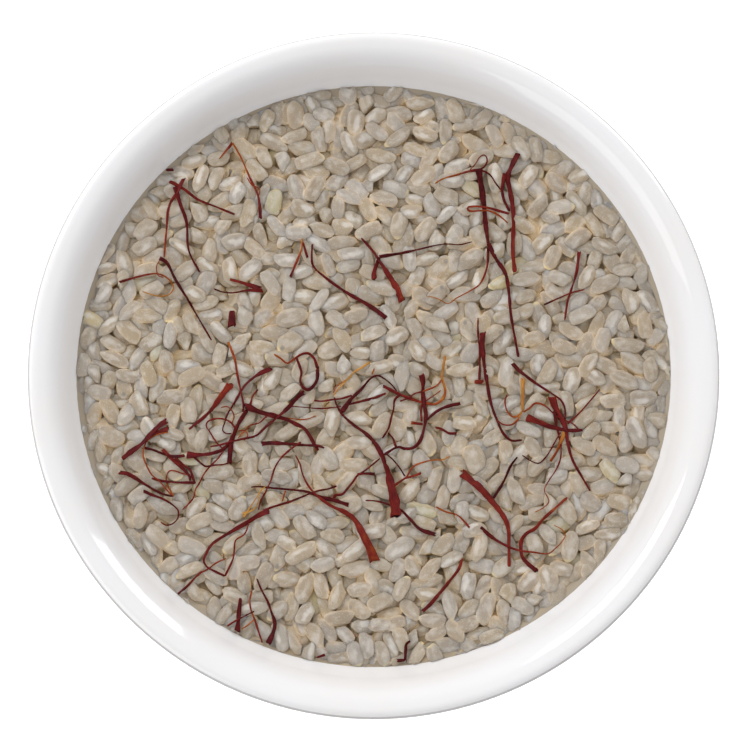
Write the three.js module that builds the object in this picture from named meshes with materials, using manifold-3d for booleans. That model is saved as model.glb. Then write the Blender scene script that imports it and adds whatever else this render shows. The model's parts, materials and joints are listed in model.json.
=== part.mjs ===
// A small white bowl filled with dry short-grain rice, with saffron threads lying on top.
// Millimetres, +Z up. The origin is the centre of the foot ring's underside.
import * as THREE from 'three';
import { ConvexHull } from 'three/addons/math/ConvexHull.js';
import { mergeVertices } from 'three/addons/utils/BufferGeometryUtils.js';
import Module from 'manifold-3d';

// ---- driving dimensions ----
const SEGMENTS = 48; // flats round the bowl and round the edge of the rice
const GAP = 0.3; // clearance between pieces that touch
const WALL_GAP = 0.35; // the rice clears the wall by a little more, because both are faceted
const FACETS = { outer: 4, flare: 4, inner: 6 }; // flats along each curve of the bowl's profile

const BOWL = {
  recess: [22.5, 2], // the sunk disc inside the foot ring: radius, height
  foot: [[24, 0], [26.8, 0], [27.4, 0.6], [27.8, 7.2]], // inside edge, outside edge, its round, its top
  outer: [[28.4, 8], [35.1, 12.4], [45.1, 34.9], [50.7, 43.2]], // bezier up the outer wall
  lip: [[52.6, 46], [54.1, 47.7], [54.9, 48.4], [55, 49.1], [54.5, 49.8]], // rolled edge, up and over
  flare: [[53.6, 50.1], [51.1, 49.9], [49.4, 47.5], [48.2, 44.9]], // bezier from the crest to the rice
  inner: [[45.6, 41.2], [34.5, 25.4], [36, 5.5], [0, 5.5]], // bezier down the inner wall to the middle
};

const RICE = {
  grainLength: 5.4,
  grainWidth: 3.1,
  spacing: 1.7, // least distance between the centre lines of two grains that show
  throws: 26000, // grains thrown, of which only those that fit are kept
  wallInset: 1.4, // least distance from the wall to a grain's middle
  endInset: 1.1, // and to its ends
  lengthRange: [0.75, 1.25], // shortest and longest grain, as a share of the middle one
  tilt: 0.15, // how much higher one end of a grain may lie than its middle
  rimLength: 2.5, // half length and half width of the ring of points round a grain
  rimWidth: 1.2,
  rimClear: 0.85, // least distance from such a point to the centre line of another grain
  rimSpacing: 1.45, // and to another such point
  rimInset: 0.5, // and to the wall
  crown: 0.65, // a grain's top above the mean surface
  crownRange: [0.6, 1.1], // the lowest and the highest top, as a share of it
  valley: 0.5, // the gaps between grains below it
  valleyRange: [0.75, 1.25],
  middle: 42.85, // height of the mean surface away from the wall
  edge: 43.78, // mean height where it meets the wall
  edgeSaddle: 0.52, // the edge is higher left and right, lower front and back
  edgeTilt: 0.45, // and higher at the back than at the front
  edgeTurn: 4, // power by which the surface turns to the height of its edge
  broadSwell: 0.22, // slow unevenness: height and run of a broad swell and of a short one
  broadRun: 7.7,
  shortSwell: 0.16,
  shortRun: 4.7,
  seed: 20,
};

const SAFFRON = {
  thinnest: 0.28, // thickness of a strand of no width
  thicker: 0.2, // thickness gained for each millimetre of width
  thickest: 0.5,
  flare: 2.2, // power by which a strand widens towards its thick end
  bend: 0.24, // how far a straight facet may leave the true curve
  longest: 4.6, // longest facet
  step: 0.25, // distance between the places at which a strand's clearance is looked at
  sliver: 0.05, // detail this fine is dropped where strands are joined
};

// Each sprig is a set of strands that grow from each other or tangle. A strand is its width at
// the thin end, its width at the thick end, and the plan of its middle line, thin end first.
const SPRIGS = {
  fork: [
    [0.4, 0.56, [-22.5, 26.1], [-25.6, 27.4], [-28.4, 28.5], [-30.6, 30.1], [-33, 31.4]],
    [0.32, 0.72, [-33.8, 19], [-33.5, 23.4], [-33, 27.5], [-31.9, 29.4], [-30.7, 31.9]],
    [0.32, 0.8, [-28.1, 16.7], [-29.8, 20], [-30.3, 25], [-31.3, 27.8], [-32.1, 30.4]],
  ],
  twig: [
    [0.26, 0.48, [-25, 35.2], [-24.1, 36.3], [-22.9, 37.8]],
    [0.29, 0.51, [-22.9, 37.8], [-21.5, 35.4], [-20.2, 32.4], [-18.7, 29.1], [-18.3, 25.5]],
  ],
  scrap_rim: [
    [0.56, 0.64, [-33.6, 33.3], [-32.5, 33.3]],
  ],
  hook: [
    [0.21, 0.42, [-37.2, 13.4], [-35.7, 12.9], [-34.4, 12.7], [-32.9, 13.1], [-32.3, 14.2],
      [-33.3, 15.7], [-34.9, 16.3], [-37.6, 15.9], [-40.9, 14.9]],
  ],
  wand: [
    [0.29, 0.68, [-26.1, 5.6], [-28.1, 9], [-29.9, 12.1], [-32, 15.5], [-33.4, 18.2], [-34.4, 18.8]],
  ],
  clip: [
    [0.26, 0.74, [-25.8, 14], [-24.4, 13.5], [-22.8, 13.4], [-20.4, 13.8], [-18, 13.8]],
    [0.64, 0.74, [-23.2, 15.5], [-21.5, 15.1], [-19.9, 14.6], [-18.3, 14.1]],
  ],
  block: [
    [1.21, 1.29, [-22.8, 10.4], [-22.8, 7.9]],
  ],
  tail: [
    [0.32, 0.58, [-11.6, 22.2], [-11.6, 20.8], [-12, 19.5], [-12.7, 17.8], [-13.4, 16]],
    [0.32, 0.48, [-11.4, 21.6], [-11.1, 20.4], [-10.7, 19.1]],
  ],
  long: [
    [0.35, 0.9, [-9.9, 21.3], [-10, 19.1], [-9.8, 17.8], [-7.7, 15.8], [-4, 13.2], [-0.6, 11.2],
      [2, 9.2]],
  ],
  cross: [
    [0.45, 1.45, [-2, 22.3], [-0.1, 20.1], [1, 18.4], [2.3, 16.4], [3.8, 13.9], [4.6, 12.1]],
    [0.19, 0.64, [15.9, 21.7], [13.9, 21.2], [11.7, 21.3], [9.1, 20.9], [5.1, 19.9], [1, 19.2]],
    [0.64, 0.9, [0.9, 19.1], [0.5, 18], [0.1, 16.7], [0.1, 15.5]],
  ],
  stem: [
    [0.72, 1.37, [18.6, 21.3], [18.1, 24.7], [17.8, 27.5], [17.5, 29.9], [16.9, 33.4]],
    [0.4, 0.8, [23.3, 2.9], [22.8, 5.8], [22.1, 9.9], [21.8, 13.6], [21.2, 16.7], [19.6, 19.1],
      [18.6, 21.3]],
    [0.16, 0.48, [8.5, 12.8], [10.2, 12.4], [12, 11.6], [13.4, 12.5], [15.5, 13.6], [17.1, 14.7],
      [18.3, 17.5], [18.5, 20.9]],
    [0.26, 0.48, [10, 31.2], [10.9, 31.8], [13.6, 32.6], [15.6, 33.2], [17.4, 33.4]],
    [0.16, 0.39, [15.6, 33.4], [16.6, 34.5], [17.2, 35.5], [18, 35.8], [18.4, 35], [18, 34],
      [17.2, 33.4]],
  ],
  lance: [
    [0.64, 0.96, [22.8, 16.7], [22.5, 20.1], [22.6, 24.7], [22.5, 27.5], [22, 30.3], [21.7, 32.2],
      [22.4, 34], [23.4, 36]],
    [0.48, 0.64, [22, 26.7], [21.1, 28.5], [20.8, 30.1], [21.2, 32.7]],
  ],
  pin: [
    [0.29, 0.48, [21.7, 24.7], [20.2, 26], [18.6, 26.7], [15.4, 26.7], [15.2, 27.2], [16.2, 27.4],
      [18.8, 27.1], [20.2, 26.7], [21.9, 26.2]],
  ],
  dagger: [
    [0.32, 0.64, [30.8, 8.9], [31.3, 12], [31.9, 13.9], [32.7, 16.5], [33.2, 20]],
    [0.24, 0.35, [34, 13.8], [32.1, 13.4], [30, 12.5], [27.5, 11.4]],
  ],
  mast: [
    [0.32, 0.42, [16.8, 9.2], [16.8, 6.9], [17.1, 3.9], [17.1, 1.9], [17, -0.8]],
    [0.68, 0.74, [16.2, -1.1], [17.6, -1.1]],
    [0.4, 0.96, [23.8, -10.5], [22.1, -10.6], [20.8, -9.5], [19.8, -7.3], [18.8, -4.4], [18.2, -1],
      [17.7, 2.2], [17.5, 4.7], [17.6, 6.8]],
  ],
  yellow_stem: [
    [0.42, 0.77, [23.9, -6], [23.9, -3.4], [24, -0.7]],
    [0.26, 0.39, [19.8, -7.4], [20.7, -8], [22, -8.1], [23, -7.4], [23.7, -6]],
  ],
  star: [
    [0.24, 0.35, [32.8, -8.8], [31.9, -7.9], [30.5, -7.3], [29.2, -6.6], [27.4, -5], [26, -4.6],
      [24.9, -5.5], [24.1, -6]],
    [0.35, 1.29, [34.6, -18.7], [33.1, -16.1], [31.8, -13.7], [31.1, -11], [30.7, -8.4], [29.7, -6.3],
      [29, -4.9], [28.6, -3.7]],
    [0.56, 1.13, [33.5, -9], [31.1, -9], [28.1, -8.3], [26.1, -7.5], [24.6, -6.9]],
    [0.32, 0.64, [30.7, -7.4], [30.7, -5.7], [30.1, -4.2], [28.4, -2.9], [25.5, -1], [23.5, 0.6],
      [22.4, 1.8]],
    [0.24, 0.35, [36.3, -2.4], [34.6, -4.4], [32.9, -6.3], [31.1, -7.9]],
    [0.16, 0.35, [25.8, -22.1], [27, -21.5], [28, -20.4], [27.3, -18.6], [28, -17.1], [29.2, -15.3],
      [29.9, -13.5], [30, -11.4], [29.8, -10]],
    [0.48, 0.72, [28.3, -14], [29.3, -12.4], [30.1, -10.6], [30.6, -9.2]],
    [0.4, 0.56, [29.7, -9.8], [29.3, -8.2], [29, -6]],
  ],
  club: [
    [0.56, 1.77, [21.6, -30.8], [21.6, -27.9], [21.5, -24.7], [20.9, -23], [19, -20.5], [16.7, -18],
      [14.1, -15.9]],
    [0.4, 0.48, [23, -13.3], [22, -14.6], [20.8, -17.2], [19.2, -19.8]],
  ],
  anchor: [
    [0.16, 0.68, [28.8, -24.2], [30.1, -24.9], [30.6, -25.7], [30, -26.9], [29, -27.9], [27.9, -28.7],
      [25.4, -28.5], [22.8, -28.1], [20.1, -26.9], [18.4, -25.7], [17.2, -24.6]],
    [0.48, 0.8, [30.9, -19.8], [29.1, -21.4], [27, -23.3], [25.8, -24.7], [24.4, -25.5], [23.6, -26.6],
      [23.5, -27.9], [23.8, -29.3], [24.7, -30.4], [26, -31.5]],
  ],
  stick: [
    [0.48, 0.64, [14.2, -29.5], [13.6, -31.1], [12.1, -33.1], [10.1, -35.5], [9, -36.8], [7.8, -37.9]],
  ],
  wisp_mid: [
    [0.26, 0.35, [9.9, -21.2], [11.5, -22], [13.4, -22.6], [14.4, -23.5], [15.3, -24.6]],
  ],
  trunk: [
    [0.37, 1.93, [-6.3, -3.6], [-6, -4.7], [-5.1, -6.3], [-3.2, -8.1], [-1.1, -9.6], [0.5, -11.4],
      [1.7, -14], [2.7, -17.4], [3.3, -19.9], [3.7, -22.7]],
    [0.29, 0.8, [-1.3, -20.2], [0.4, -20.3], [2.3, -20.8], [4.4, -21.8], [5.8, -23.2], [7.4, -24.8],
      [9.9, -25.7]],
    [0.23, 0.87, [3.7, -2.6], [2.8, -1.5], [1.7, -0.6], [0.6, -0.1], [-0.4, -0.5], [-2, -2.3],
      [-3.7, -4], [-5.1, -6]],
    [0.32, 0.35, [-3.5, -3.3], [-5.1, -3.8], [-7, -4], [-8.4, -4.2], [-9.5, -4.1]],
    [0.4, 0.48, [-4.4, -4.8], [-2.2, -4.3], [0.2, -3.7], [1.9, -3]],
    [0.16, 0.35, [-13.7, -5], [-11.3, -5.2], [-8.6, -5.4], [-6.8, -5.3], [-5.2, -5.1]],
    [0.26, 0.42, [-6.5, -3.3], [-5.7, -2.3], [-4.4, -0.9], [-3.1, 0.5], [-1.9, 1.2], [-0.7, 2]],
  ],
  crook: [
    [0.4, 0.56, [11.5, 3.1], [11.2, 1.3], [11, -0.3], [11.3, -1.6], [11.5, -2.8], [11, -4], [9.9, -4.7],
      [8.1, -4.5], [5.7, -3.7], [4.1, -3.1], [1.5, -1.8]],
    [0.48, 0.93, [1.7, -12.9], [3.4, -11.8], [4.1, -11.6], [5, -11.9], [6.4, -11.7], [7.4, -10.7],
      [8, -9], [8.4, -6.5], [8.1, -4.6], [7.9, -2.8], [7.9, -1.1], [7.7, -0]],
    [0.32, 0.35, [7.8, -4.6], [7.6, -5.8], [7.7, -7.4]],
    [0.48, 0.56, [7.9, -7.9], [6.1, -7.7]],
    [0.48, 0.56, [8.5, -7.3], [10.1, -5.9], [11.8, -5.1], [13.9, -4.6]],
    [0.32, 0.42, [1.4, -10.2], [2.4, -8.6], [2.8, -7], [3.2, -5.5], [3.4, -4], [4.2, -3.2]],
    [0.24, 0.48, [2.3, -9.3], [3.1, -10.2], [3.4, -11.1], [3.7, -11.7]],
  ],
  splinter: [
    [0.4, 0.48, [9.9, -8.4], [11.1, -8.8], [12.1, -9.4], [13.3, -9.4]],
  ],
  feather: [
    [0.24, 0.42, [12.2, -13.1], [11.6, -13.4], [11.3, -13.6], [9.6, -13.7], [8.2, -14], [6.6, -14.6],
      [5.9, -15.3], [5.3, -16.4], [4.2, -17.2], [3.3, -17.9]],
    [0.4, 0.45, [4.8, -16.7], [6.3, -16.3], [7.6, -15.8]],
  ],
  twist: [
    [0.32, 0.48, [1, -13.5], [-0.1, -14.4], [-1.5, -15.5], [-2.6, -16.2], [-3.3, -17.2], [-4.2, -18.3],
      [-5, -19.2], [-6.2, -19.4], [-6.4, -20.2]],
    [0.48, 0.64, [-2.6, -16], [-1.2, -15.9], [0.1, -16]],
  ],
  bough: [
    [0.24, 0.8, [-22.8, -9.5], [-23.6, -9.5], [-24.2, -9], [-23.9, -7.7], [-23.5, -6.4], [-22.1, -4.1],
      [-21.4, -2.8], [-20.5, -1.5], [-18.5, 0.1], [-16.5, 1]],
    [0.32, 0.48, [-21, -6], [-20.9, -4.9], [-21.4, -2.4], [-21.9, -0], [-22.3, 2.4], [-23.4, 5.3]],
    [0.64, 0.84, [-20.3, -5.7], [-21.1, -6.9], [-22.2, -9], [-22.9, -11.8], [-23.1, -14.2]],
    [0.4, 0.48, [-20.7, -6], [-21.7, -7.6], [-22.5, -9.5], [-23.3, -11.1], [-24.1, -11.9]],
    [0.56, 1.05, [-8.9, -12.2], [-9.6, -11], [-11.1, -8.7], [-12.5, -7.9], [-13.9, -7.2], [-15.3, -6.8],
      [-18.2, -6], [-20.6, -5]],
    [0.48, 1.13, [-23.3, -11.3], [-24.1, -12], [-25.3, -12.5], [-26.5, -12.8], [-28.1, -13],
      [-29.7, -13]],
    [0.32, 0.37, [-23.1, -14.2], [-24.1, -14.5], [-25.6, -14.6], [-26.8, -14.8], [-27.5, -14.4],
      [-28.7, -13.3]],
    [0.32, 0.4, [-18.6, -2.3], [-19.4, -3.4], [-19.8, -4.9]],
    [0.19, 0.35, [-21.6, -9], [-20.6, -8.9], [-19.7, -8.1], [-18.3, -7.7], [-17.1, -6.6]],
  ],
  sling: [
    [0.32, 0.8, [-26.2, -11.6], [-24.5, -11.3], [-22, -10.6], [-20.2, -10.2], [-18.8, -9.8],
      [-17.1, -8.2], [-15.8, -7.2], [-13.9, -5.5], [-12, -3.4], [-11.2, -2.8]],
  ],
  braid: [
    [0.4, 0.56, [-36.7, -11.8], [-35.4, -12.1], [-34.1, -12.6], [-32.8, -13], [-31.6, -13.2],
      [-30.3, -13.1]],
    [0.48, 0.8, [-29.3, -17.1], [-29.5, -16.3], [-30.4, -15.3], [-31.7, -14.1], [-32.8, -13.1],
      [-33.8, -12.1]],
    [0.4, 0.42, [-28.7, -17.2], [-29, -16.3], [-29.4, -15.3], [-30.4, -14.6], [-31.7, -13.4]],
    [0.4, 0.48, [-35.5, -16.7], [-33.9, -17.1], [-32.3, -17.3], [-30.4, -17.4], [-28.5, -17.4]],
  ],
  blade: [
    [0.8, 0.96, [-40.2, -13.6], [-38.8, -12.5], [-37.2, -11.3], [-35.8, -9.8], [-34.2, -8.2],
      [-33.1, -7.5]],
    [0.56, 0.72, [-35.7, -10], [-34.3, -9.3], [-32.9, -8.7]],
  ],
  slip: [
    [0.4, 0.8, [-32.1, -19.6], [-33.7, -19.2], [-35.5, -18.3], [-36.8, -17.5], [-38.2, -16.6],
      [-39.4, -16], [-40.6, -15.8]],
  ],
  curl: [
    [0.21, 0.56, [-34, -23.7], [-33.1, -24.2], [-32.2, -24], [-31.3, -23.1], [-31.2, -21.9],
      [-32.2, -20.9], [-33.7, -20], [-35.3, -19.4], [-36.7, -18.8]],
  ],
  trumpet: [
    [0.48, 1.29, [-29.6, -8.8], [-28.1, -7.6], [-26.7, -6.4], [-25.7, -5.2], [-24.7, -3.8],
      [-23.8, -2.6], [-22.9, -1.5]],
  ],
  bar: [
    [0.4, 0.8, [-7.9, -11.8], [-8.7, -11.5], [-12.1, -11.3], [-16.1, -11], [-17.8, -11.1]],
  ],
  ring: [
    [0.32, 0.56, [-16, 3.3], [-14.9, 2.6], [-13.9, 1.9], [-12.5, 2.8], [-11.5, 3.4], [-10.5, 3.5],
      [-9.6, 2.7], [-9, 1.1]],
    [0.56, 0.42, [-9, 1.1], [-9.1, -0.7], [-9.6, -1.7], [-10.5, -2.4], [-11.3, -2.1], [-11.8, -1],
      [-11.6, 0.3], [-11.9, 1.4], [-12.4, 2.7]],
  ],
  vine: [
    [0.24, 0.37, [-18.4, -21.7], [-18.1, -20.3], [-17.3, -18.9], [-16.5, -17.2], [-16.1, -15.9],
      [-15.7, -14.8], [-14.8, -13.4], [-13.4, -12.1], [-11.7, -10.9]],
    [0.32, 0.8, [-19.6, -18.1], [-18.6, -18], [-15.7, -18.3], [-13.2, -18.5], [-10.9, -18.8],
      [-8.4, -19.7], [-6.2, -20.2], [-4.1, -20.9]],
    [0.32, 0.4, [-5.9, -17.9], [-7.4, -18.4], [-8.9, -18.7], [-10.3, -19.2], [-11.8, -19.8],
      [-13.6, -20.5], [-16.2, -21.3], [-17.6, -21.8]],
  ],
  horn: [
    [0.24, 1.77, [-12.5, -13], [-11.8, -14.4], [-11.4, -15.9], [-10.5, -17.8], [-9, -19.5],
      [-6.8, -21.1], [-4.6, -22.1], [-3.1, -23.2], [-2, -25], [-0.9, -27.3], [0.1, -29.9]],
  ],
  sickle: [
    [0.24, 0.35, [-19.9, -23.8], [-20.6, -25.6], [-22, -26.6], [-22.2, -27.9], [-22.4, -29.5],
      [-23, -30.9], [-23.7, -32.3]],
    [0.35, 0.96, [-23.7, -32.3], [-25.2, -31.6], [-26.5, -30.9], [-27.1, -29.8], [-26.7, -28.7],
      [-25.9, -27.3], [-24.4, -26.2], [-22.4, -25], [-20.5, -23.9], [-18.6, -22.7], [-16.9, -22]],
    [0.24, 0.48, [-23.6, -29.5], [-25.1, -30.2], [-26.4, -31.2], [-27.7, -31.9], [-28.9, -33.1],
      [-30, -34.2], [-31.1, -35.1]],
  ],
  yellow_wisp: [
    [0.24, 0.42, [-17.2, -17.9], [-18.1, -18.8], [-19, -20.2], [-19.8, -21.4], [-20.3, -22.2],
      [-20.8, -22.9]],
    [0.24, 0.42, [-17.9, -18.3], [-18.3, -19.4], [-18.5, -20.6], [-19.1, -21.6], [-20.1, -22.1],
      [-20.9, -22.3]],
  ],
  spear: [
    [0.62, 1.15, [-21.2, -35.8], [-21.4, -38], [-21.6, -41.1]],
  ],
  reeds: [
    [0.29, 0.35, [-19.4, -34.6], [-19.7, -36.2], [-19.5, -37.7], [-18.8, -39.5], [-18.2, -41.4],
      [-17.7, -42.8]],
  ],
  rod: [
    [0.29, 0.96, [-18.6, -32.7], [-17.9, -34.4], [-16.9, -36.3], [-16.2, -38.2], [-15.7, -39.8],
      [-16, -41.4], [-16.7, -42.9]],
  ],
  scrap_front: [
    [0.48, 0.48, [5.8, -42.6], [5.2, -43.1], [5.1, -44.2], [5, -45.6]],
    [0.56, 0.56, [5, -45.6], [3.8, -45.7]],
  ],
  scrap_left: [
    [0.35, 0.42, [-9, -45.2], [-7.8, -44.8]],
  ],
};

// ---- colours ----
const GLAZE = { color: 0xeeedef, roughness: 0.15, metalness: 0 };
const GRAIN = { color: 0xbdb29c, roughness: 0.45, metalness: 0 };
const STIGMA = { color: 0x7c1a1c, roughness: 0.6, metalness: 0 };

const plane = (pair) => new THREE.Vector2(pair[0], pair[1]);
const bezier = (corners) => new THREE.CubicBezierCurve(...corners.map(plane));

// ---- bowl ----
const innerWall = bezier(BOWL.inner);

function bowlProfile() {
  return [
    new THREE.Vector2(0, BOWL.recess[1]),
    plane(BOWL.recess),
    ...BOWL.foot.map(plane),
    ...bezier(BOWL.outer).getPoints(FACETS.outer),
    ...BOWL.lip.map(plane),
    ...bezier(BOWL.flare).getPoints(FACETS.flare),
    ...innerWall.getPoints(FACETS.inner),
  ];
}

function makeBowl() {
  const geometry = new THREE.LatheGeometry(bowlProfile(), SEGMENTS);
  geometry.rotateX(Math.PI / 2);
  return namedMesh('bowl', geometry, GLAZE);
}

// Radius of the bowl's inside at a height near the rice line, where the wall is straight.
function wallRadius(z) {
  const [low, high] = [BOWL.inner[0], BOWL.flare[3]];
  return low[0] + (z - low[1]) * (high[0] - low[0]) / (high[1] - low[1]);
}

// ---- rice ----
function seededRandom(seed) {
  let state = seed;
  return () => {
    state = (state + 0x6d2b79f5) | 0;
    let t = Math.imul(state ^ (state >>> 15), 1 | state);
    t = (t + Math.imul(t ^ (t >>> 7), 61 | t)) ^ t;
    return ((t ^ (t >>> 14)) >>> 0) / 4294967296;
  };
}

const edgeHeight = (angle) =>
  RICE.edge + RICE.edgeSaddle * Math.cos(2 * angle) + RICE.edgeTilt * Math.sin(angle);
const edgeRadius = (angle) => wallRadius(edgeHeight(angle)) - WALL_GAP;
const insetFromEdge = (x, y) => edgeRadius(Math.atan2(y, x)) - Math.hypot(x, y);

// The mean surface: a flat middle with slow unevenness, turning to the edge's own height.
function meanHeight(x, y) {
  const angle = Math.atan2(y, x);
  const rise = Math.pow(Math.hypot(x, y) / edgeRadius(angle), RICE.edgeTurn);
  const broad = RICE.broadSwell * Math.sin(x / RICE.broadRun + 1) * Math.sin(y / RICE.broadRun);
  const slow = broad + RICE.shortSwell * Math.sin((x - y) / RICE.shortRun);
  return RICE.middle + slow * (1 - rise) + (edgeHeight(angle) - RICE.middle) * rise;
}

function distanceToGrain(x, y, grain) {
  const along = (x - grain.x) * grain.ux + (y - grain.y) * grain.uy;
  const t = THREE.MathUtils.clamp(along, -grain.half, grain.half);
  return Math.hypot(x - grain.x - t * grain.ux, y - grain.y - t * grain.uy);
}

function between([least, most], random) {
  return least + (most - least) * random();
}

const ALONG = [-1, -0.5, 0, 0.5, 1]; // places looked at along a grain, in its half lengths

// Grains are thrown at random and kept where their centre lines stay clear of the others'.
function throwGrains(random) {
  const grains = [];
  for (let i = 0; i < RICE.throws; i++) {
    const angle = random() * 2 * Math.PI;
    const radius = Math.sqrt(random()) * (edgeRadius(angle) - RICE.wallInset);
    const heading = random() * Math.PI;
    const half = (RICE.grainLength - RICE.grainWidth) / 2 * between(RICE.lengthRange, random);
    const grain = {
      x: radius * Math.cos(angle), y: radius * Math.sin(angle),
      ux: Math.cos(heading), uy: Math.sin(heading), half,
    };
    const points = ALONG.map((s) =>
      [grain.x + s * half * grain.ux, grain.y + s * half * grain.uy]);
    const fits = points.every(([x, y]) => insetFromEdge(x, y) > RICE.endInset
      && grains.every((other) => distanceToGrain(x, y, other) > RICE.spacing));
    if (fits) grains.push(grain);
  }
  return grains;
}

const RIM_TURNS = [0, 50, 90, 130, 180, 230, 270, 310].map(THREE.MathUtils.degToRad);

// Two crown points on every grain, and rim points round it in the gaps that are still free.
function surfacePoints() {
  const random = seededRandom(RICE.seed);
  const grains = throwGrains(random);
  const crowns = [];
  for (const grain of grains) {
    const height = RICE.crown * between(RICE.crownRange, random);
    const tilt = between([-RICE.tilt, RICE.tilt], random);
    for (const side of [-1, 1]) {
      const x = grain.x + side * grain.half * grain.ux;
      const y = grain.y + side * grain.half * grain.uy;
      crowns.push(new THREE.Vector3(x, y, meanHeight(x, y) + height + side * tilt));
    }
  }
  const rims = [];
  for (const grain of grains) {
    for (const turn of RIM_TURNS) {
      const along = RICE.rimLength * Math.cos(turn);
      const across = RICE.rimWidth * Math.sin(turn);
      const x = grain.x + along * grain.ux - across * grain.uy;
      const y = grain.y + along * grain.uy + across * grain.ux;
      const clear = grains.every((other) => distanceToGrain(x, y, other) > RICE.rimClear)
        && rims.every((rim) => Math.hypot(rim.x - x, rim.y - y) > RICE.rimSpacing);
      if (insetFromEdge(x, y) > RICE.rimInset && clear) {
        const depth = RICE.valley * between(RICE.valleyRange, random);
        rims.push(new THREE.Vector3(x, y, meanHeight(x, y) - depth));
      }
    }
  }
  return [...crowns, ...rims];
}

// Delaunay triangles in plan: the lower side of the hull of the points lifted to a paraboloid.
function triangulate(points) {
  const lifted = points.map((p) => new THREE.Vector3(p.x, p.y, p.x * p.x + p.y * p.y));
  const place = new Map(lifted.map((p, i) => [p, i]));
  const triangles = [];
  for (const face of new ConvexHull().setFromPoints(lifted).faces) {
    if (face.normal.z >= 0) continue;
    const corners = [face.edge, face.edge.next, face.edge.next.next].map((e) => place.get(e.head().point));
    const [a, b, c] = corners.map((i) => points[i]);
    const turn = (b.x - a.x) * (c.y - a.y) - (b.y - a.y) * (c.x - a.x);
    triangles.push(turn > 0 ? corners : corners.reverse());
  }
  return triangles;
}

function riceEdge() {
  return Array.from({ length: SEGMENTS }, (_, k) => {
    const angle = 2 * Math.PI * k / SEGMENTS;
    const radius = edgeRadius(angle);
    return new THREE.Vector3(radius * Math.cos(angle), radius * Math.sin(angle), edgeHeight(angle));
  });
}

// Rings down the inside of the bowl, a gap away from it, from just under the edge to the floor.
function undersideRings() {
  const rings = [];
  for (let i = 0; i < FACETS.inner; i++) {
    const t = i / FACETS.inner;
    const at = innerWall.getPoint(t);
    const tangent = innerWall.getTangent(t);
    const radius = at.x + WALL_GAP * tangent.y;
    const z = at.y - WALL_GAP * tangent.x;
    rings.push(Array.from({ length: SEGMENTS }, (_, k) => {
      const angle = 2 * Math.PI * k / SEGMENTS;
      return new THREE.Vector3(radius * Math.cos(angle), radius * Math.sin(angle), z);
    }));
  }
  return rings;
}

function makeRice() {
  const top = [...riceEdge(), ...surfacePoints()];
  const surface = triangulate(top);
  const triangles = [...surface];
  const points = [...top];
  let upper = 0;
  for (const ring of undersideRings()) {
    const lower = points.length;
    points.push(...ring);
    for (let k = 0; k < SEGMENTS; k++) {
      const next = (k + 1) % SEGMENTS;
      triangles.push([upper + k, lower + k, upper + next], [upper + next, lower + k, lower + next]);
    }
    upper = lower;
  }
  const middle = points.length;
  points.push(new THREE.Vector3(0, 0, BOWL.inner[3][1] + WALL_GAP));
  for (let k = 0; k < SEGMENTS; k++) triangles.push([upper + k, middle, upper + (k + 1) % SEGMENTS]);
  const geometry = new THREE.BufferGeometry().setFromPoints(points);
  geometry.setIndex(triangles.flat());
  return { mesh: namedMesh('rice_heap', geometry, GRAIN), top, surface };
}

// ---- height map of what already lies in the bowl ----
const CELL = 0.3;
const REACH = 50;
const CELLS = Math.round(2 * REACH / CELL);
const OVERLAP = 0.25; // share of a triangle by which the map reads it past its edges

const cellOf = (value) => THREE.MathUtils.clamp(Math.floor((value + REACH) / CELL), 0, CELLS - 1);

function heightMap(points, triangles) {
  const map = new Float64Array(CELLS * CELLS);
  for (const corners of triangles) {
    const [a, b, c] = corners.map((i) => points[i]);
    const area = (b.x - a.x) * (c.y - a.y) - (b.y - a.y) * (c.x - a.x);
    const [x0, x1] = [Math.min(a.x, b.x, c.x), Math.max(a.x, b.x, c.x)].map(cellOf);
    const [y0, y1] = [Math.min(a.y, b.y, c.y), Math.max(a.y, b.y, c.y)].map(cellOf);
    for (let j = y0; j <= y1; j++) {
      for (let i = x0; i <= x1; i++) {
        const [x, y] = [(i + 0.5) * CELL - REACH, (j + 0.5) * CELL - REACH];
        const u = ((b.x - x) * (c.y - y) - (b.y - y) * (c.x - x)) / area;
        const v = ((c.x - x) * (a.y - y) - (c.y - y) * (a.x - x)) / area;
        const [p, q, r] = [u, v, 1 - u - v].map((w) => THREE.MathUtils.clamp(w, 0, 1));
        const near = Math.min(u, v, 1 - u - v) > -OVERLAP;
        const z = (p * a.z + q * b.z + r * c.z) / (p + q + r);
        if (near) map[j * CELLS + i] = Math.max(map[j * CELLS + i], z);
      }
    }
  }
  return map;
}

// The highest (or mean) value within reach cells, along one axis of the map.
function sweep(map, reach, stride, across, combine) {
  const out = new Float64Array(map.length);
  for (let row = 0; row < CELLS; row++) {
    for (let i = 0; i < CELLS; i++) {
      let value = 0;
      let count = 0;
      for (let k = Math.max(0, i - reach); k <= Math.min(CELLS - 1, i + reach); k++) {
        value = combine(value, map[row * across + k * stride]);
        count++;
      }
      out[row * across + i * stride] = combine === sum ? value / count : value;
    }
  }
  return out;
}

const sum = (a, b) => a + b;
const BLANKET = [[3, Math.max], [2, sum]]; // cells the blanket spans, then cells it is evened over

// A smooth blanket that no cell of the map reaches through: strands are laid on it.
function blanket(map) {
  let out = map;
  for (const [reach, combine] of BLANKET) {
    out = sweep(out, reach, 1, CELLS, combine);
    out = sweep(out, reach, CELLS, 1, combine);
  }
  return out;
}

const sample = (map, x, y) => map[cellOf(y) * CELLS + cellOf(x)];

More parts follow.
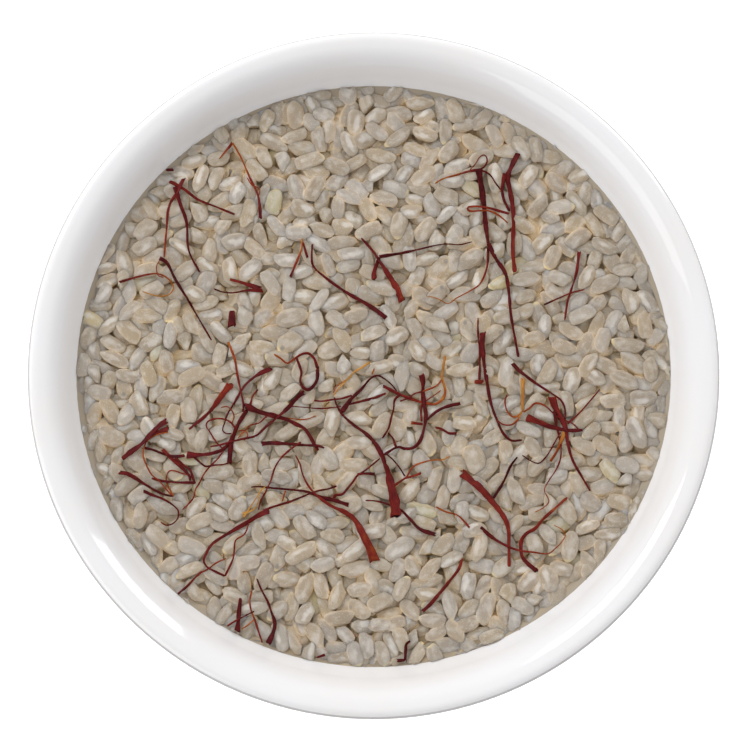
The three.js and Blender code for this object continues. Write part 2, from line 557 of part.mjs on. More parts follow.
// ---- saffron ----
function simplify(points) {
  const [first, last] = [points[0], points[points.length - 1]];
  const chord = new THREE.Line3(first, last);
  let worst = 0;
  let where = 0;
  points.forEach((point, i) => {
    const distance = chord.closestPointToPoint(point, true, new THREE.Vector3()).distanceTo(point);
    if (distance > worst) [worst, where] = [distance, i];
  });
  if (where === 0 && first.distanceTo(last) > SAFFRON.longest) where = points.length >> 1;
  if (where > 0 && (worst > SAFFRON.bend || first.distanceTo(last) > SAFFRON.longest)) {
    return [...simplify(points.slice(0, where + 1)).slice(0, -1), ...simplify(points.slice(where))];
  }
  return [first, last];
}

// Keeps a point of a strand clear of the bowl's wall.
function clearOfWall(point, halfWidth) {
  const limit = edgeRadius(Math.atan2(point.y, point.x)) - GAP - halfWidth;
  const radius = Math.hypot(point.x, point.y);
  if (radius > limit) point.multiplyScalar(limit / radius);
  return point;
}

function layStrand([thin, thick, ...plan], map, cover) {
  const route = new THREE.CatmullRomCurve3(plan.map(([x, y]) =>
    clearOfWall(new THREE.Vector3(x, y, 0), thick / 2)), false, 'centripetal');
  const fine = route.getPoints(Math.ceil(route.getLength() / SAFFRON.step));
  const middle = simplify(fine);
  const places = middle.map((point) => fine.indexOf(point));
  const widths = places.map((i) => thin + (thick - thin) * Math.pow(i / (fine.length - 1), SAFFRON.flare));
  const depths = widths.map((w) => Math.min(SAFFRON.thickest, SAFFRON.thinnest + SAFFRON.thicker * w));
  const heights = middle.map((p, i) => sample(cover, p.x, p.y) + GAP + depths[i] / 2);
  liftClear(fine, places, heights, widths, depths, map);
  return middle.map((p, i) => ({ x: p.x, y: p.y, z: heights[i], width: widths[i], depth: depths[i] }));
}

// Raises the ends of any facet whose straight run comes too near what lies under it.
function liftClear(fine, places, heights, widths, depths, map) {
  for (let facet = 0; facet + 1 < places.length; facet++) {
    const [from, to] = [places[facet], places[facet + 1]];
    for (let i = from; i <= to; i++) {
      const t = (i - from) / (to - from);
      const half = THREE.MathUtils.lerp(widths[facet], widths[facet + 1], t) / 2;
      const deep = THREE.MathUtils.lerp(depths[facet], depths[facet + 1], t) / 2;
      let under = 0;
      for (const dx of [-half, 0, half]) {
        for (const dy of [-half, 0, half]) {
          under = Math.max(under, sample(map, fine[i].x + dx, fine[i].y + dy));
        }
      }
      const short = under + GAP + deep - THREE.MathUtils.lerp(heights[facet], heights[facet + 1], t);
      if (short > 0) {
        heights[facet] += short;
        heights[facet + 1] += short;
      }
    }
  }
}

const SHARES = [0, 0.2, 0.4, 0.6, 0.8, 1]; // places looked at along each facet

// The nearest approach in plan of two strands: the facet and the share along it, on each.
function nearestApproach(one, other) {
  const spots = (rings) => rings.slice(1).flatMap((_, facet) => SHARES.map((t) => {
    const at = (key) => THREE.MathUtils.lerp(rings[facet][key], rings[facet + 1][key], t);
    return { facet, x: at('x'), y: at('y'), z: at('z'), half: at('width') / 2 };
  }));
  let best = { distance: Infinity };
  for (const a of spots(one)) {
    for (const b of spots(other)) {
      const distance = Math.hypot(a.x - b.x, a.y - b.y);
      if (distance < best.distance) best = { distance, a, b };
    }
  }
  return best;
}

// Where two strands of a sprig meet in plan, the lower one is raised so that they touch. Each
// strand also meets the earlier one nearest to it: an end that falls short is carried over.
function knit(strands) {
  strands.forEach((strand, i) => {
    const meetings = strands.slice(0, i).map((other) => ({ other, ...nearestApproach(strand, other) }));
    const clearance = ({ distance, a, b }) => distance - a.half - b.half;
    meetings.sort((one, two) => clearance(one) - clearance(two));
    meetings.forEach((meeting, rank) => {
      if (rank > 0 && clearance(meeting) > 0) return;
      const { other, a, b } = meeting;
      const [low, facet] = a.z < b.z ? [strand, a.facet] : [other, b.facet];
      for (const ring of [low[facet], low[facet + 1]]) ring.z += Math.abs(a.z - b.z);
      const tip = [strand[0], strand[strand.length - 1]].find((ring) => ring.x === a.x && ring.y === a.y);
      if (tip) Object.assign(tip, { x: b.x, y: b.y });
    });
  });
}

// A closed strip with a low ridge above and below: four corners round each ring.
function strandGeometry(rings) {
  const points = [];
  const faces = [];
  rings.forEach((ring, i) => {
    const before = rings[Math.max(0, i - 1)];
    const after = rings[Math.min(rings.length - 1, i + 1)];
    const run = new THREE.Vector2(after.x - before.x, after.y - before.y).normalize();
    const [sx, sy] = [-run.y * ring.width / 2, run.x * ring.width / 2];
    points.push(
      new THREE.Vector3(ring.x + sx, ring.y + sy, ring.z),
      new THREE.Vector3(ring.x, ring.y, ring.z + ring.depth / 2),
      new THREE.Vector3(ring.x - sx, ring.y - sy, ring.z),
      new THREE.Vector3(ring.x, ring.y, ring.z - ring.depth / 2),
    );
    if (i === 0) return;
    const [b, a] = [4 * i, 4 * (i - 1)];
    for (let k = 0; k < 4; k++) {
      const next = (k + 1) % 4;
      faces.push([a + k, a + next, b + k], [a + next, b + next, b + k]);
    }
  });
  const end = points.length - 4;
  faces.push([0, 3, 1], [1, 3, 2], [end, end + 1, end + 3], [end + 1, end + 2, end + 3]);
  const geometry = new THREE.BufferGeometry().setFromPoints(points);
  geometry.setIndex(faces.flat());
  return geometry;
}

function raiseMap(map, rings) {
  for (let i = 0; i + 1 < rings.length; i++) {
    const run = Math.hypot(rings[i + 1].x - rings[i].x, rings[i + 1].y - rings[i].y);
    const steps = Math.ceil(run / (CELL / 2));
    for (let k = 0; k <= steps; k++) {
      const at = (key) => THREE.MathUtils.lerp(rings[i][key], rings[i + 1][key], k / steps);
      const half = at('width') / 2;
      const top = at('z') + at('depth') / 2;
      for (let y = cellOf(at('y') - half); y <= cellOf(at('y') + half); y++) {
        for (let x = cellOf(at('x') - half); x <= cellOf(at('x') + half); x++) {
          map[y * CELLS + x] = Math.max(map[y * CELLS + x], top);
        }
      }
    }
  }
}

function toSolid(library, geometry) {
  const merged = mergeVertices(geometry, 1e-4);
  return new library.Manifold(new library.Mesh({
    numProp: 3,
    vertProperties: new Float32Array(merged.attributes.position.array),
    triVerts: new Uint32Array(merged.index.array),
  }));
}

function fromSolid(solid) {
  const mesh = solid.getMesh();
  const geometry = new THREE.BufferGeometry();
  geometry.setAttribute('position', new THREE.BufferAttribute(new Float32Array(mesh.vertProperties), 3));
  geometry.setIndex(new THREE.BufferAttribute(new Uint32Array(mesh.triVerts), 1));
  return geometry;
}

// Lays each sprig on the rice and on the sprigs already there, and joins its strands.
function makeSaffron(library, map) {
  return Object.entries(SPRIGS).map(([name, strands]) => {
    const cover = blanket(map);
    const laid = strands.map((strand) => layStrand(strand, map, cover));
    knit(laid);
    laid.forEach((rings) => raiseMap(map, rings));
    const solids = laid.map((rings) => toSolid(library, strandGeometry(rings)));
    const joined = solids.reduce((whole, solid) => whole.add(solid));
    return namedMesh(`saffron_${name}`, fromSolid(joined.simplify(SAFFRON.sliver)), STIGMA);
  });
}

// ---- the whole ----
function namedMesh(name, geometry, finish) {
  const mesh = new THREE.Mesh(geometry, new THREE.MeshStandardMaterial(finish));
  mesh.name = name;
  return mesh;
}

const library = await Module();
library.setup();

const group = new THREE.Group();
const rice = makeRice();
group.add(makeBowl(), rice.mesh);
group.add(...makeSaffron(library, heightMap(rice.top, rice.surface)));

export default group;
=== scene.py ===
"""A small white bowl of dry short-grain rice strewn with saffron threads."""

import json
import math

import bpy
import numpy as np
from mathutils import Matrix, Vector
from mathutils.bvhtree import BVHTree

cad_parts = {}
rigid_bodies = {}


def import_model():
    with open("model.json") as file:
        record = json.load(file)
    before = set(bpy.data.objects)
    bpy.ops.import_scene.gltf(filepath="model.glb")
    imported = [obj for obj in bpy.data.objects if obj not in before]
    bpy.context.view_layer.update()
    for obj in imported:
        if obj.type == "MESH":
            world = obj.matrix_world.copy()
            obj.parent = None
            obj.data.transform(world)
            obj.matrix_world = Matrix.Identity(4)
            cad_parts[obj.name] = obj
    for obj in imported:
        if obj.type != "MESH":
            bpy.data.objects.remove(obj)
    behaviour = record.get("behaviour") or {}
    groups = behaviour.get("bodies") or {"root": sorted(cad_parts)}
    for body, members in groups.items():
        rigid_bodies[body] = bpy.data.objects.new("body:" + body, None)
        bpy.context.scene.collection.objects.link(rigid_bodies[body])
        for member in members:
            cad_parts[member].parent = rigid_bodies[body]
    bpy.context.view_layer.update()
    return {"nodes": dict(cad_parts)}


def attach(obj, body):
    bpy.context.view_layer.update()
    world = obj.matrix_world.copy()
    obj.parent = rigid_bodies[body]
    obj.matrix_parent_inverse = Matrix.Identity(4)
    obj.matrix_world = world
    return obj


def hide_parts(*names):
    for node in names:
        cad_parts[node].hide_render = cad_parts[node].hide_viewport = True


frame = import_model()

bl_info = {
    "name": "Bowl of rice with saffron",
    "version": (1, 0, 0),
    "blender": (4, 5, 0),
    "location": "3D View > Sidebar > Rice Bowl",
    "description": "Dresses a bowl of dry rice and saffron: glaze, loose grains, threads and stage",
    "category": "Object",
}

MM = 0.001
BODY = "root"
HIGH = 1.0  # a height above everything, in metres

# ---- the bowl's wall, in millimetres: radius and height ----
# Each knot of the profile is its point, the handle before it and the handle after it. A knot
# with no handles is a corner of straight lines.
BOWL_PROFILE = [
    ((0, 2), None, None),
    ((22.3, 2), None, (23.2, 2)),
    ((24, 0), (23.4, 0.6), None),
    ((26.6, 0), None, (27.1, 0)),
    ((27.4, 0.9), (27.4, 0.4), (27.5, 3)),
    ((27.8, 7), (27.7, 5), (27.85, 7.6)),
    ((28.8, 8.3), (28.2, 8), (35.1, 12.6)),
    ((50.7, 43.2), (45.1, 34.9), (52, 45.1)),
    ((54.7, 48.1), (53.8, 47.1), (55.1, 48.6)),
    ((54.6, 49.75), (55.1, 49.3), (54.2, 50.1)),
    ((53.1, 50.0), (53.7, 50.15), (50.8, 49.72)),
    ((48.2, 44.9), (49.35, 47.55), None),
    ((45.6, 41.2), None, (34.5, 25.4)),
    ((0, 5.5), (36, 5.5), None),
]
INSIDE = 10  # the knot on the crest of the lip, from which the profile runs down the inside
RICE_LINE = ((45.6, 41.2), (48.2, 44.9))  # the straight stretch of wall that the rice meets

# ---- the rice surface, in millimetres ----
EDGE_MEAN = 43.78  # height at which the rice meets the wall
EDGE_SADDLE = 0.52  # higher left and right, lower front and back
EDGE_TILT = 0.45  # and higher at the back than at the front
LEVEL_CELL = 1.0  # mesh of the first reading of the CAD heap
LEVEL_ROUNDS = 14  # how often that reading is evened out
GRID_CELL = 0.25  # mesh and half width of the grids that grains and strands are laid on
GRID_HALF = 50.0
GRID_SIDE = int(2 * GRID_HALF / GRID_CELL)
NOWHERE = -99.0  # a height below everything

# ---- the saffron ----
# A strand is its width at the thin end and at the thick end, its tone at both (0 is dark
# crimson, 0.4 brick red, 0.7 orange, 1 yellow), and the plan of its middle line, in mm.
STRANDS = {
    "fork": (
        (0.4, 0.56, 0.15, 0.35, (-22.5, 26.1), (-25.6, 27.4), (-28.4, 28.5), (-30.6, 30.1), (-33, 31.4)),
        (0.32, 0.72, 0.5, 0.25, (-33.8, 19), (-33.5, 23.4), (-33, 27.5), (-31.9, 29.4), (-30.7, 31.9)),
        (0.32, 0.8, 0.1, 0.2, (-28.1, 16.7), (-29.8, 20), (-30.3, 25), (-31.3, 27.8), (-32.1, 30.4)),
    ),
    "twig": (
        (0.26, 0.48, 0.75, 0.3, (-25, 35.2), (-24.1, 36.3), (-22.9, 37.8)),
        (0.29, 0.51, 0.7, 0.15, (-22.9, 37.8), (-21.5, 35.4), (-20.2, 32.4), (-18.7, 29.1),
         (-18.3, 25.5)),
        (0.19, 0.23, 0.6, 0.5, (-20.5, 32.1), (-19.7, 30.9), (-18.5, 30.3), (-18.7, 28.8)),
    ),
    "scrap_rim": (
        (0.56, 0.64, 0.1, 0.1, (-33.6, 33.3), (-32.5, 33.3)),
    ),
    "hook": (
        (0.21, 0.42, 0.95, 0.15, (-37.2, 13.4), (-35.7, 12.9), (-34.4, 12.7), (-32.9, 13.1),
         (-32.3, 14.2), (-33.3, 15.7), (-34.9, 16.3), (-37.6, 15.9), (-40.9, 14.9)),
    ),
    "wand": (
        (0.29, 0.68, 0.05, 0.05, (-26.1, 5.6), (-28.1, 9), (-29.9, 12.1), (-32, 15.5), (-33.4, 18.2),
         (-34.4, 18.8)),
        (0.16, 0.19, 0.5, 0.5, (-34.5, 18.5), (-35, 17.5), (-34.7, 16), (-33.9, 15.7)),
    ),
    "clip": (
        (0.26, 0.74, 0, 0.3, (-25.8, 14), (-24.4, 13.5), (-22.8, 13.4), (-20.4, 13.8), (-18, 13.8)),
        (0.64, 0.74, 0.45, 0.1, (-23.2, 15.5), (-21.5, 15.1), (-19.9, 14.6), (-18.3, 14.1)),
    ),
    "block": (
        (1.21, 1.29, 0.1, 0.12, (-22.8, 10.4), (-22.8, 7.9)),
    ),
    "tail": (
        (0.32, 0.58, 0.8, 0.1, (-11.6, 22.2), (-11.6, 20.8), (-12, 19.5), (-12.7, 17.8), (-13.4, 16)),
        (0.32, 0.48, 0.3, 0.2, (-11.4, 21.6), (-11.1, 20.4), (-10.7, 19.1)),
    ),
    "long": (
        (0.35, 0.9, 0.15, 0.1, (-9.9, 21.3), (-10, 19.1), (-9.8, 17.8), (-7.7, 15.8), (-4, 13.2),
         (-0.6, 11.2), (2, 9.2)),
    ),
    "cross": (
        (0.45, 1.45, 0.15, 0.45, (-2, 22.3), (-0.1, 20.1), (1, 18.4), (2.3, 16.4), (3.8, 13.9),
         (4.6, 12.1)),
        (0.19, 0.64, 0.05, 0.05, (15.9, 21.7), (13.9, 21.2), (11.7, 21.3), (9.1, 20.9), (5.1, 19.9),
         (1, 19.2)),
        (0.64, 0.9, 0.1, 0.35, (0.9, 19.1), (0.5, 18), (0.1, 16.7), (0.1, 15.5)),
    ),
    "stem": (
        (0.72, 1.37, 0.1, 0.1, (18.6, 21.3), (18.1, 24.7), (17.8, 27.5), (17.5, 29.9), (16.9, 33.4)),
        (0.4, 0.8, 0.15, 0.12, (23.3, 2.9), (22.8, 5.8), (22.1, 9.9), (21.8, 13.6), (21.2, 16.7),
         (19.6, 19.1), (18.6, 21.3)),
        (0.16, 0.48, 0.85, 0.1, (8.5, 12.8), (10.2, 12.4), (12, 11.6), (13.4, 12.5), (15.5, 13.6),
         (17.1, 14.7), (18.3, 17.5), (18.5, 20.9)),
        (0.26, 0.48, 0.75, 0.1, (10, 31.2), (10.9, 31.8), (13.6, 32.6), (15.6, 33.2), (17.4, 33.4)),
        (0.24, 0.32, 0.1, 0.1, (20.6, 30.1), (19.8, 31.1), (18.8, 32.6), (17.4, 33.4)),
        (0.16, 0.39, 0.5, 0.15, (15.6, 33.4), (16.6, 34.5), (17.2, 35.5), (18, 35.8), (18.4, 35),
         (18, 34), (17.2, 33.4)),
    ),
    "lance": (
        (0.64, 0.96, 0.4, 0.1, (22.8, 16.7), (22.5, 20.1), (22.6, 24.7), (22.5, 27.5), (22, 30.3),
         (21.7, 32.2), (22.4, 34), (23.4, 36)),
        (0.48, 0.64, 0.1, 0.3, (22, 26.7), (21.1, 28.5), (20.8, 30.1), (21.2, 32.7)),
    ),
    "pin": (
        (0.29, 0.48, 0.6, 0.3, (21.7, 24.7), (20.2, 26), (18.6, 26.7), (15.4, 26.7), (15.2, 27.2),
         (16.2, 27.4), (18.8, 27.1), (20.2, 26.7), (21.9, 26.2)),
    ),
    "dagger": (
        (0.32, 0.64, 0.3, 0.3, (30.8, 8.9), (31.3, 12), (31.9, 13.9), (32.7, 16.5), (33.2, 20)),
        (0.24, 0.35, 0.4, 0.05, (34, 13.8), (32.1, 13.4), (30, 12.5), (27.5, 11.4)),
    ),
    "mast": (
        (0.32, 0.42, 0.3, 0.1, (16.8, 9.2), (16.8, 6.9), (17.1, 3.9), (17.1, 1.9), (17, -0.8)),
        (0.68, 0.74, 0.45, 0.45, (16.2, -1.1), (17.6, -1.1)),
        (0.4, 0.96, 0.1, 0.2, (23.8, -10.5), (22.1, -10.6), (20.8, -9.5), (19.8, -7.3), (18.8, -4.4),
         (18.2, -1), (17.7, 2.2), (17.5, 4.7), (17.6, 6.8)),
    ),
    "yellow_stem": (
        (0.42, 0.77, 0.85, 0.88, (23.9, -6), (23.9, -3.4), (24, -0.7)),
        (0.26, 0.32, 0.4, 0.8, (21.4, -3.2), (21.1, -4.2), (21.5, -6), (22.4, -6.8), (23.3, -6.5),
         (23.9, -5.7)),
        (0.26, 0.39, 0.3, 0.8, (19.8, -7.4), (20.7, -8), (22, -8.1), (23, -7.4), (23.7, -6)),
    ),
    "star": (
        (0.24, 0.35, 0.2, 0.6, (32.8, -8.8), (31.9, -7.9), (30.5, -7.3), (29.2, -6.6), (27.4, -5),
         (26, -4.6), (24.9, -5.5), (24.1, -6)),
        (0.35, 1.29, 0.15, 0.3, (34.6, -18.7), (33.1, -16.1), (31.8, -13.7), (31.1, -11), (30.7, -8.4),
         (29.7, -6.3), (29, -4.9), (28.6, -3.7)),
        (0.56, 1.13, 0.1, 0.35, (33.5, -9), (31.1, -9), (28.1, -8.3), (26.1, -7.5), (24.6, -6.9)),
        (0.32, 0.64, 0.15, 0.1, (30.7, -7.4), (30.7, -5.7), (30.1, -4.2), (28.4, -2.9), (25.5, -1),
         (23.5, 0.6), (22.4, 1.8)),
        (0.24, 0.35, 0.3, 0.3, (36.3, -2.4), (34.6, -4.4), (32.9, -6.3), (31.1, -7.9)),
        (0.16, 0.35, 0.6, 0.15, (25.8, -22.1), (27, -21.5), (28, -20.4), (27.3, -18.6), (28, -17.1),
         (29.2, -15.3), (29.9, -13.5), (30, -11.4), (29.8, -10)),
        (0.48, 0.72, 0.5, 0.9, (28.3, -14), (29.3, -12.4), (30.1, -10.6), (30.6, -9.2)),
        (0.23, 0.26, 0, 0.3, (23.8, -13), (25, -13.8), (26.4, -14.3), (27.4, -13.5), (28.3, -12.2),
         (29.2, -10.6), (30, -9.3)),
        (0.4, 0.56, 0.15, 0.15, (29.7, -9.8), (29.3, -8.2), (29, -6)),
    ),
    "club": (
        (0.56, 1.77, 0.4, 0.3, (21.6, -30.8), (21.6, -27.9), (21.5, -24.7), (20.9, -23), (19, -20.5),
         (16.7, -18), (14.1, -15.9)),
        (0.4, 0.48, 0, 0, (23, -13.3), (22, -14.6), (20.8, -17.2), (19.2, -19.8)),
    ),
    "anchor": (
        (0.16, 0.68, 0.7, 0.05, (28.8, -24.2), (30.1, -24.9), (30.6, -25.7), (30, -26.9), (29, -27.9),
         (27.9, -28.7), (25.4, -28.5), (22.8, -28.1), (20.1, -26.9), (18.4, -25.7), (17.2, -24.6)),
        (0.48, 0.8, 0.5, 0.15, (30.9, -19.8), (29.1, -21.4), (27, -23.3), (25.8, -24.7), (24.4, -25.5),
         (23.6, -26.6), (23.5, -27.9), (23.8, -29.3), (24.7, -30.4), (26, -31.5)),
    ),
    "stick": (
        (0.48, 0.64, 0.35, 0.15, (14.2, -29.5), (13.6, -31.1), (12.1, -33.1), (10.1, -35.5), (9, -36.8),
         (7.8, -37.9)),
    ),
    "wisp_mid": (
        (0.26, 0.35, 0.65, 0.4, (9.9, -21.2), (11.5, -22), (13.4, -22.6), (14.4, -23.5), (15.3, -24.6)),
    ),
    "trunk": (
        (0.37, 1.93, 0.1, 0.3, (-6.3, -3.6), (-6, -4.7), (-5.1, -6.3), (-3.2, -8.1), (-1.1, -9.6),
         (0.5, -11.4), (1.7, -14), (2.7, -17.4), (3.3, -19.9), (3.7, -22.7)),
        (0.29, 0.8, 0.2, 0.05, (-1.3, -20.2), (0.4, -20.3), (2.3, -20.8), (4.4, -21.8), (5.8, -23.2),
         (7.4, -24.8), (9.9, -25.7)),
        (0.23, 0.87, 0, 0.1, (3.7, -2.6), (2.8, -1.5), (1.7, -0.6), (0.6, -0.1), (-0.4, -0.5),
         (-2, -2.3), (-3.7, -4), (-5.1, -6)),
        (0.32, 0.35, 0.2, 0.2, (-3.5, -3.3), (-5.1, -3.8), (-7, -4), (-8.4, -4.2), (-9.5, -4.1)),
        (0.4, 0.48, 0.15, 0.2, (-4.4, -4.8), (-2.2, -4.3), (0.2, -3.7), (1.9, -3)),
        (0.16, 0.35, 0.15, 0.15, (-13.7, -5), (-11.3, -5.2), (-8.6, -5.4), (-6.8, -5.3), (-5.2, -5.1)),
        (0.26, 0.42, 0.9, 0.97, (-6.5, -3.3), (-5.7, -2.3), (-4.4, -0.9), (-3.1, 0.5), (-1.9, 1.2),
         (-0.7, 2)),
        (0.19, 0.23, 0.6, 0.9, (-6.5, -2.9), (-6, -1.9), (-4.9, -1.1), (-3.6, -0.3)),
        (0.23, 0.26, 0.7, 0.7, (-0.3, -0), (0.1, 1)),
    ),
    "crook": (
        (0.4, 0.56, 0.88, 0.15, (11.5, 3.1), (11.2, 1.3), (11, -0.3), (11.3, -1.6), (11.5, -2.8),
         (11, -4), (9.9, -4.7), (8.1, -4.5), (5.7, -3.7), (4.1, -3.1), (1.5, -1.8)),
        (0.29, 0.32, 0.6, 0.15, (10.9, -0.8), (10.2, -1.7), (8.9, -2.3), (7.7, -2.7), (6.6, -3),
         (5.6, -3.7), (4.3, -4.2)),
        (0.48, 0.93, 0.1, 0.2, (1.7, -12.9), (3.4, -11.8), (4.1, -11.6), (5, -11.9), (6.4, -11.7),
         (7.4, -10.7), (8, -9), (8.4, -6.5), (8.1, -4.6), (7.9, -2.8), (7.9, -1.1), (7.7, -0)),
        (0.32, 0.35, 0.3, 0.3, (7.8, -4.6), (7.6, -5.8), (7.7, -7.4)),
        (0.48, 0.56, 0.3, 0.45, (7.9, -7.9), (6.1, -7.7)),
        (0.48, 0.56, 0.1, 0.1, (8.5, -7.3), (10.1, -5.9), (11.8, -5.1), (13.9, -4.6)),
        (0.19, 0.21, 0.6, 0.3, (10.8, -2.5), (9.9, -3.2), (9.1, -3.7), (8.1, -4.4)),
        (0.32, 0.42, 0.15, 0.15, (1.4, -10.2), (2.4, -8.6), (2.8, -7), (3.2, -5.5), (3.4, -4),
         (4.2, -3.2)),
        (0.24, 0.48, 0.2, 0.2, (2.3, -9.3), (3.1, -10.2), (3.4, -11.1), (3.7, -11.7)),
    ),
    "splinter": (
        (0.4, 0.48, 0.15, 0.2, (9.9, -8.4), (11.1, -8.8), (12.1, -9.4), (13.3, -9.4)),
    ),
    "wisp_dark": (
        (0.23, 0.29, 0, 0, (1.9, -12.7), (2.9, -13.5), (4.1, -14.9), (5, -16.3)),
    ),
    "feather": (
        (0.24, 0.42, 0.8, 0.3, (12.2, -13.1), (11.6, -13.4), (11.3, -13.6), (9.6, -13.7), (8.2, -14),
         (6.6, -14.6), (5.9, -15.3), (5.3, -16.4), (4.2, -17.2), (3.3, -17.9)),
        (0.4, 0.45, 0.35, 0.45, (4.8, -16.7), (6.3, -16.3), (7.6, -15.8)),
    ),
    "twist": (
        (0.32, 0.48, 0.1, 0.3, (1, -13.5), (-0.1, -14.4), (-1.5, -15.5), (-2.6, -16.2), (-3.3, -17.2),
         (-4.2, -18.3), (-5, -19.2), (-6.2, -19.4), (-6.4, -20.2)),
        (0.48, 0.64, 0.3, 0, (-2.6, -16), (-1.2, -15.9), (0.1, -16)),
    ),
    "bough": (
        (0.24, 0.8, 0.1, 0.2, (-22.8, -9.5), (-23.6, -9.5), (-24.2, -9), (-23.9, -7.7), (-23.5, -6.4),
         (-22.1, -4.1), (-21.4, -2.8), (-20.5, -1.5), (-18.5, 0.1), (-16.5, 1)),
        (0.32, 0.48, 0.2, 0.7, (-21, -6), (-20.9, -4.9), (-21.4, -2.4), (-21.9, -0), (-22.3, 2.4),
         (-23.4, 5.3)),
        (0.64, 0.84, 0.1, 0.1, (-20.3, -5.7), (-21.1, -6.9), (-22.2, -9), (-22.9, -11.8), (-23.1, -14.2)),
        (0.4, 0.48, 0.3, 0.3, (-20.7, -6), (-21.7, -7.6), (-22.5, -9.5), (-23.3, -11.1), (-24.1, -11.9)),
        (0.56, 1.05, 0.15, 0.15, (-8.9, -12.2), (-9.6, -11), (-11.1, -8.7), (-12.5, -7.9),
         (-13.9, -7.2), (-15.3, -6.8), (-18.2, -6), (-20.6, -5)),
        (0.24, 0.32, 0.35, 0.35, (-24.2, -11.9), (-25.4, -10.6), (-26.2, -9.3), (-26.8, -8.4),
         (-26.7, -7.7), (-25.7, -7.2), (-24.3, -7.1), (-23, -7.6), (-22.2, -8.6)),
        (0.48, 1.13, 0.1, 0.25, (-23.3, -11.3), (-24.1, -12), (-25.3, -12.5), (-26.5, -12.8),
         (-28.1, -13), (-29.7, -13)),
        (0.32, 0.37, 0.1, 0.1, (-23.1, -14.2), (-24.1, -14.5), (-25.6, -14.6), (-26.8, -14.8),
         (-27.5, -14.4), (-28.7, -13.3)),
        (0.24, 0.32, 0.4, 0.3, (-30.5, -21.7), (-29.5, -20.7), (-28.8, -19.8), (-28.5, -18.5),
         (-27.8, -17.3), (-27.2, -16.1), (-26.3, -14.9), (-25.1, -13.7), (-24.1, -12.3)),
        (0.32, 0.4, 0.25, 0.25, (-18.6, -2.3), (-19.4, -3.4), (-19.8, -4.9)),
        (0.19, 0.21, 0.5, 0.5, (-24.5, -5.3), (-23.6, -5.1), (-22.8, -5.7), (-22.4, -6.7), (-22.7, -7.7)),
        (0.19, 0.35, 0.5, 0.3, (-21.6, -9), (-20.6, -8.9), (-19.7, -8.1), (-18.3, -7.7), (-17.1, -6.6)),
        (0.19, 0.19, 0.6, 0.6, (-21.7, -10.2), (-21, -9.3), (-20.5, -9.1), (-20.2, -9.8), (-20.8, -10.6)),
        (0.19, 0.21, 0.6, 0.6, (-9.3, -6.6), (-10.5, -7.1), (-11.8, -7.2), (-13.2, -7), (-14.7, -6.8)),
    ),
    "sling": (
        (0.32, 0.8, 0.2, 0.1, (-26.2, -11.6), (-24.5, -11.3), (-22, -10.6), (-20.2, -10.2),
         (-18.8, -9.8), (-17.1, -8.2), (-15.8, -7.2), (-13.9, -5.5), (-12, -3.4), (-11.2, -2.8)),
    ),
    "braid": (
        (0.4, 0.56, 0, 0.1, (-36.7, -11.8), (-35.4, -12.1), (-34.1, -12.6), (-32.8, -13),
         (-31.6, -13.2), (-30.3, -13.1)),
        (0.48, 0.8, 0.1, 0.4, (-29.3, -17.1), (-29.5, -16.3), (-30.4, -15.3), (-31.7, -14.1),
         (-32.8, -13.1), (-33.8, -12.1)),
        (0.4, 0.42, 0.2, 0.2, (-28.7, -17.2), (-29, -16.3), (-29.4, -15.3), (-30.4, -14.6),
         (-31.7, -13.4)),
        (0.4, 0.48, 0.15, 0.15, (-35.5, -16.7), (-33.9, -17.1), (-32.3, -17.3), (-30.4, -17.4),
         (-28.5, -17.4)),
        (0.23, 0.32, 0.35, 0.7, (-29.6, -16.2), (-30.7, -15.9), (-31.9, -15.5), (-32.6, -15.5),
         (-33.1, -16.3), (-33.1, -17.4), (-32.6, -18.5), (-32, -19.5)),
    ),
    "blade": (
        (0.24, 0.32, 0.5, 0.7, (-32, -19.7), (-33.3, -18.3), (-34.3, -17.1), (-35.5, -16.1),
         (-36.3, -14.7), (-36.9, -12.9), (-36.5, -11.1), (-35.7, -10.2), (-34.5, -9.6), (-33, -9.3)),
        (0.8, 0.96, 0.15, 0.15, (-40.2, -13.6), (-38.8, -12.5), (-37.2, -11.3), (-35.8, -9.8),
         (-34.2, -8.2), (-33.1, -7.5)),
        (0.56, 0.72, 0.2, 0.25, (-35.7, -10), (-34.3, -9.3), (-32.9, -8.7)),
    ),
    "slip": (
        (0.4, 0.8, 0.05, 0.2, (-32.1, -19.6), (-33.7, -19.2), (-35.5, -18.3), (-36.8, -17.5),
         (-38.2, -16.6), (-39.4, -16), (-40.6, -15.8)),
    ),
    "curl": (
        (0.21, 0.56, 0.2, 0.1, (-34, -23.7), (-33.1, -24.2), (-32.2, -24), (-31.3, -23.1),
         (-31.2, -21.9), (-32.2, -20.9), (-33.7, -20), (-35.3, -19.4), (-36.7, -18.8)),
    ),
    "trumpet": (
        (0.48, 1.29, 0.2, 0.5, (-29.6, -8.8), (-28.1, -7.6), (-26.7, -6.4), (-25.7, -5.2),
         (-24.7, -3.8), (-23.8, -2.6), (-22.9, -1.5)),
    ),
    "bar": (
        (0.4, 0.8, 0.1, 0.1, (-7.9, -11.8), (-8.7, -11.5), (-12.1, -11.3), (-16.1, -11), (-17.8, -11.1)),
    ),
    "ring": (
        (0.32, 0.56, 0.6, 0.1, (-16, 3.3), (-14.9, 2.6), (-13.9, 1.9), (-12.5, 2.8), (-11.5, 3.4),
         (-10.5, 3.5), (-9.6, 2.7), (-9, 1.1)),
        (0.56, 0.42, 0.05, 0.15, (-9, 1.1), (-9.1, -0.7), (-9.6, -1.7), (-10.5, -2.4), (-11.3, -2.1),
         (-11.8, -1), (-11.6, 0.3), (-11.9, 1.4), (-12.4, 2.7)),
    ),
    "vine": (
        (0.24, 0.37, 0.3, 0.3, (-18.4, -21.7), (-18.1, -20.3), (-17.3, -18.9), (-16.5, -17.2),
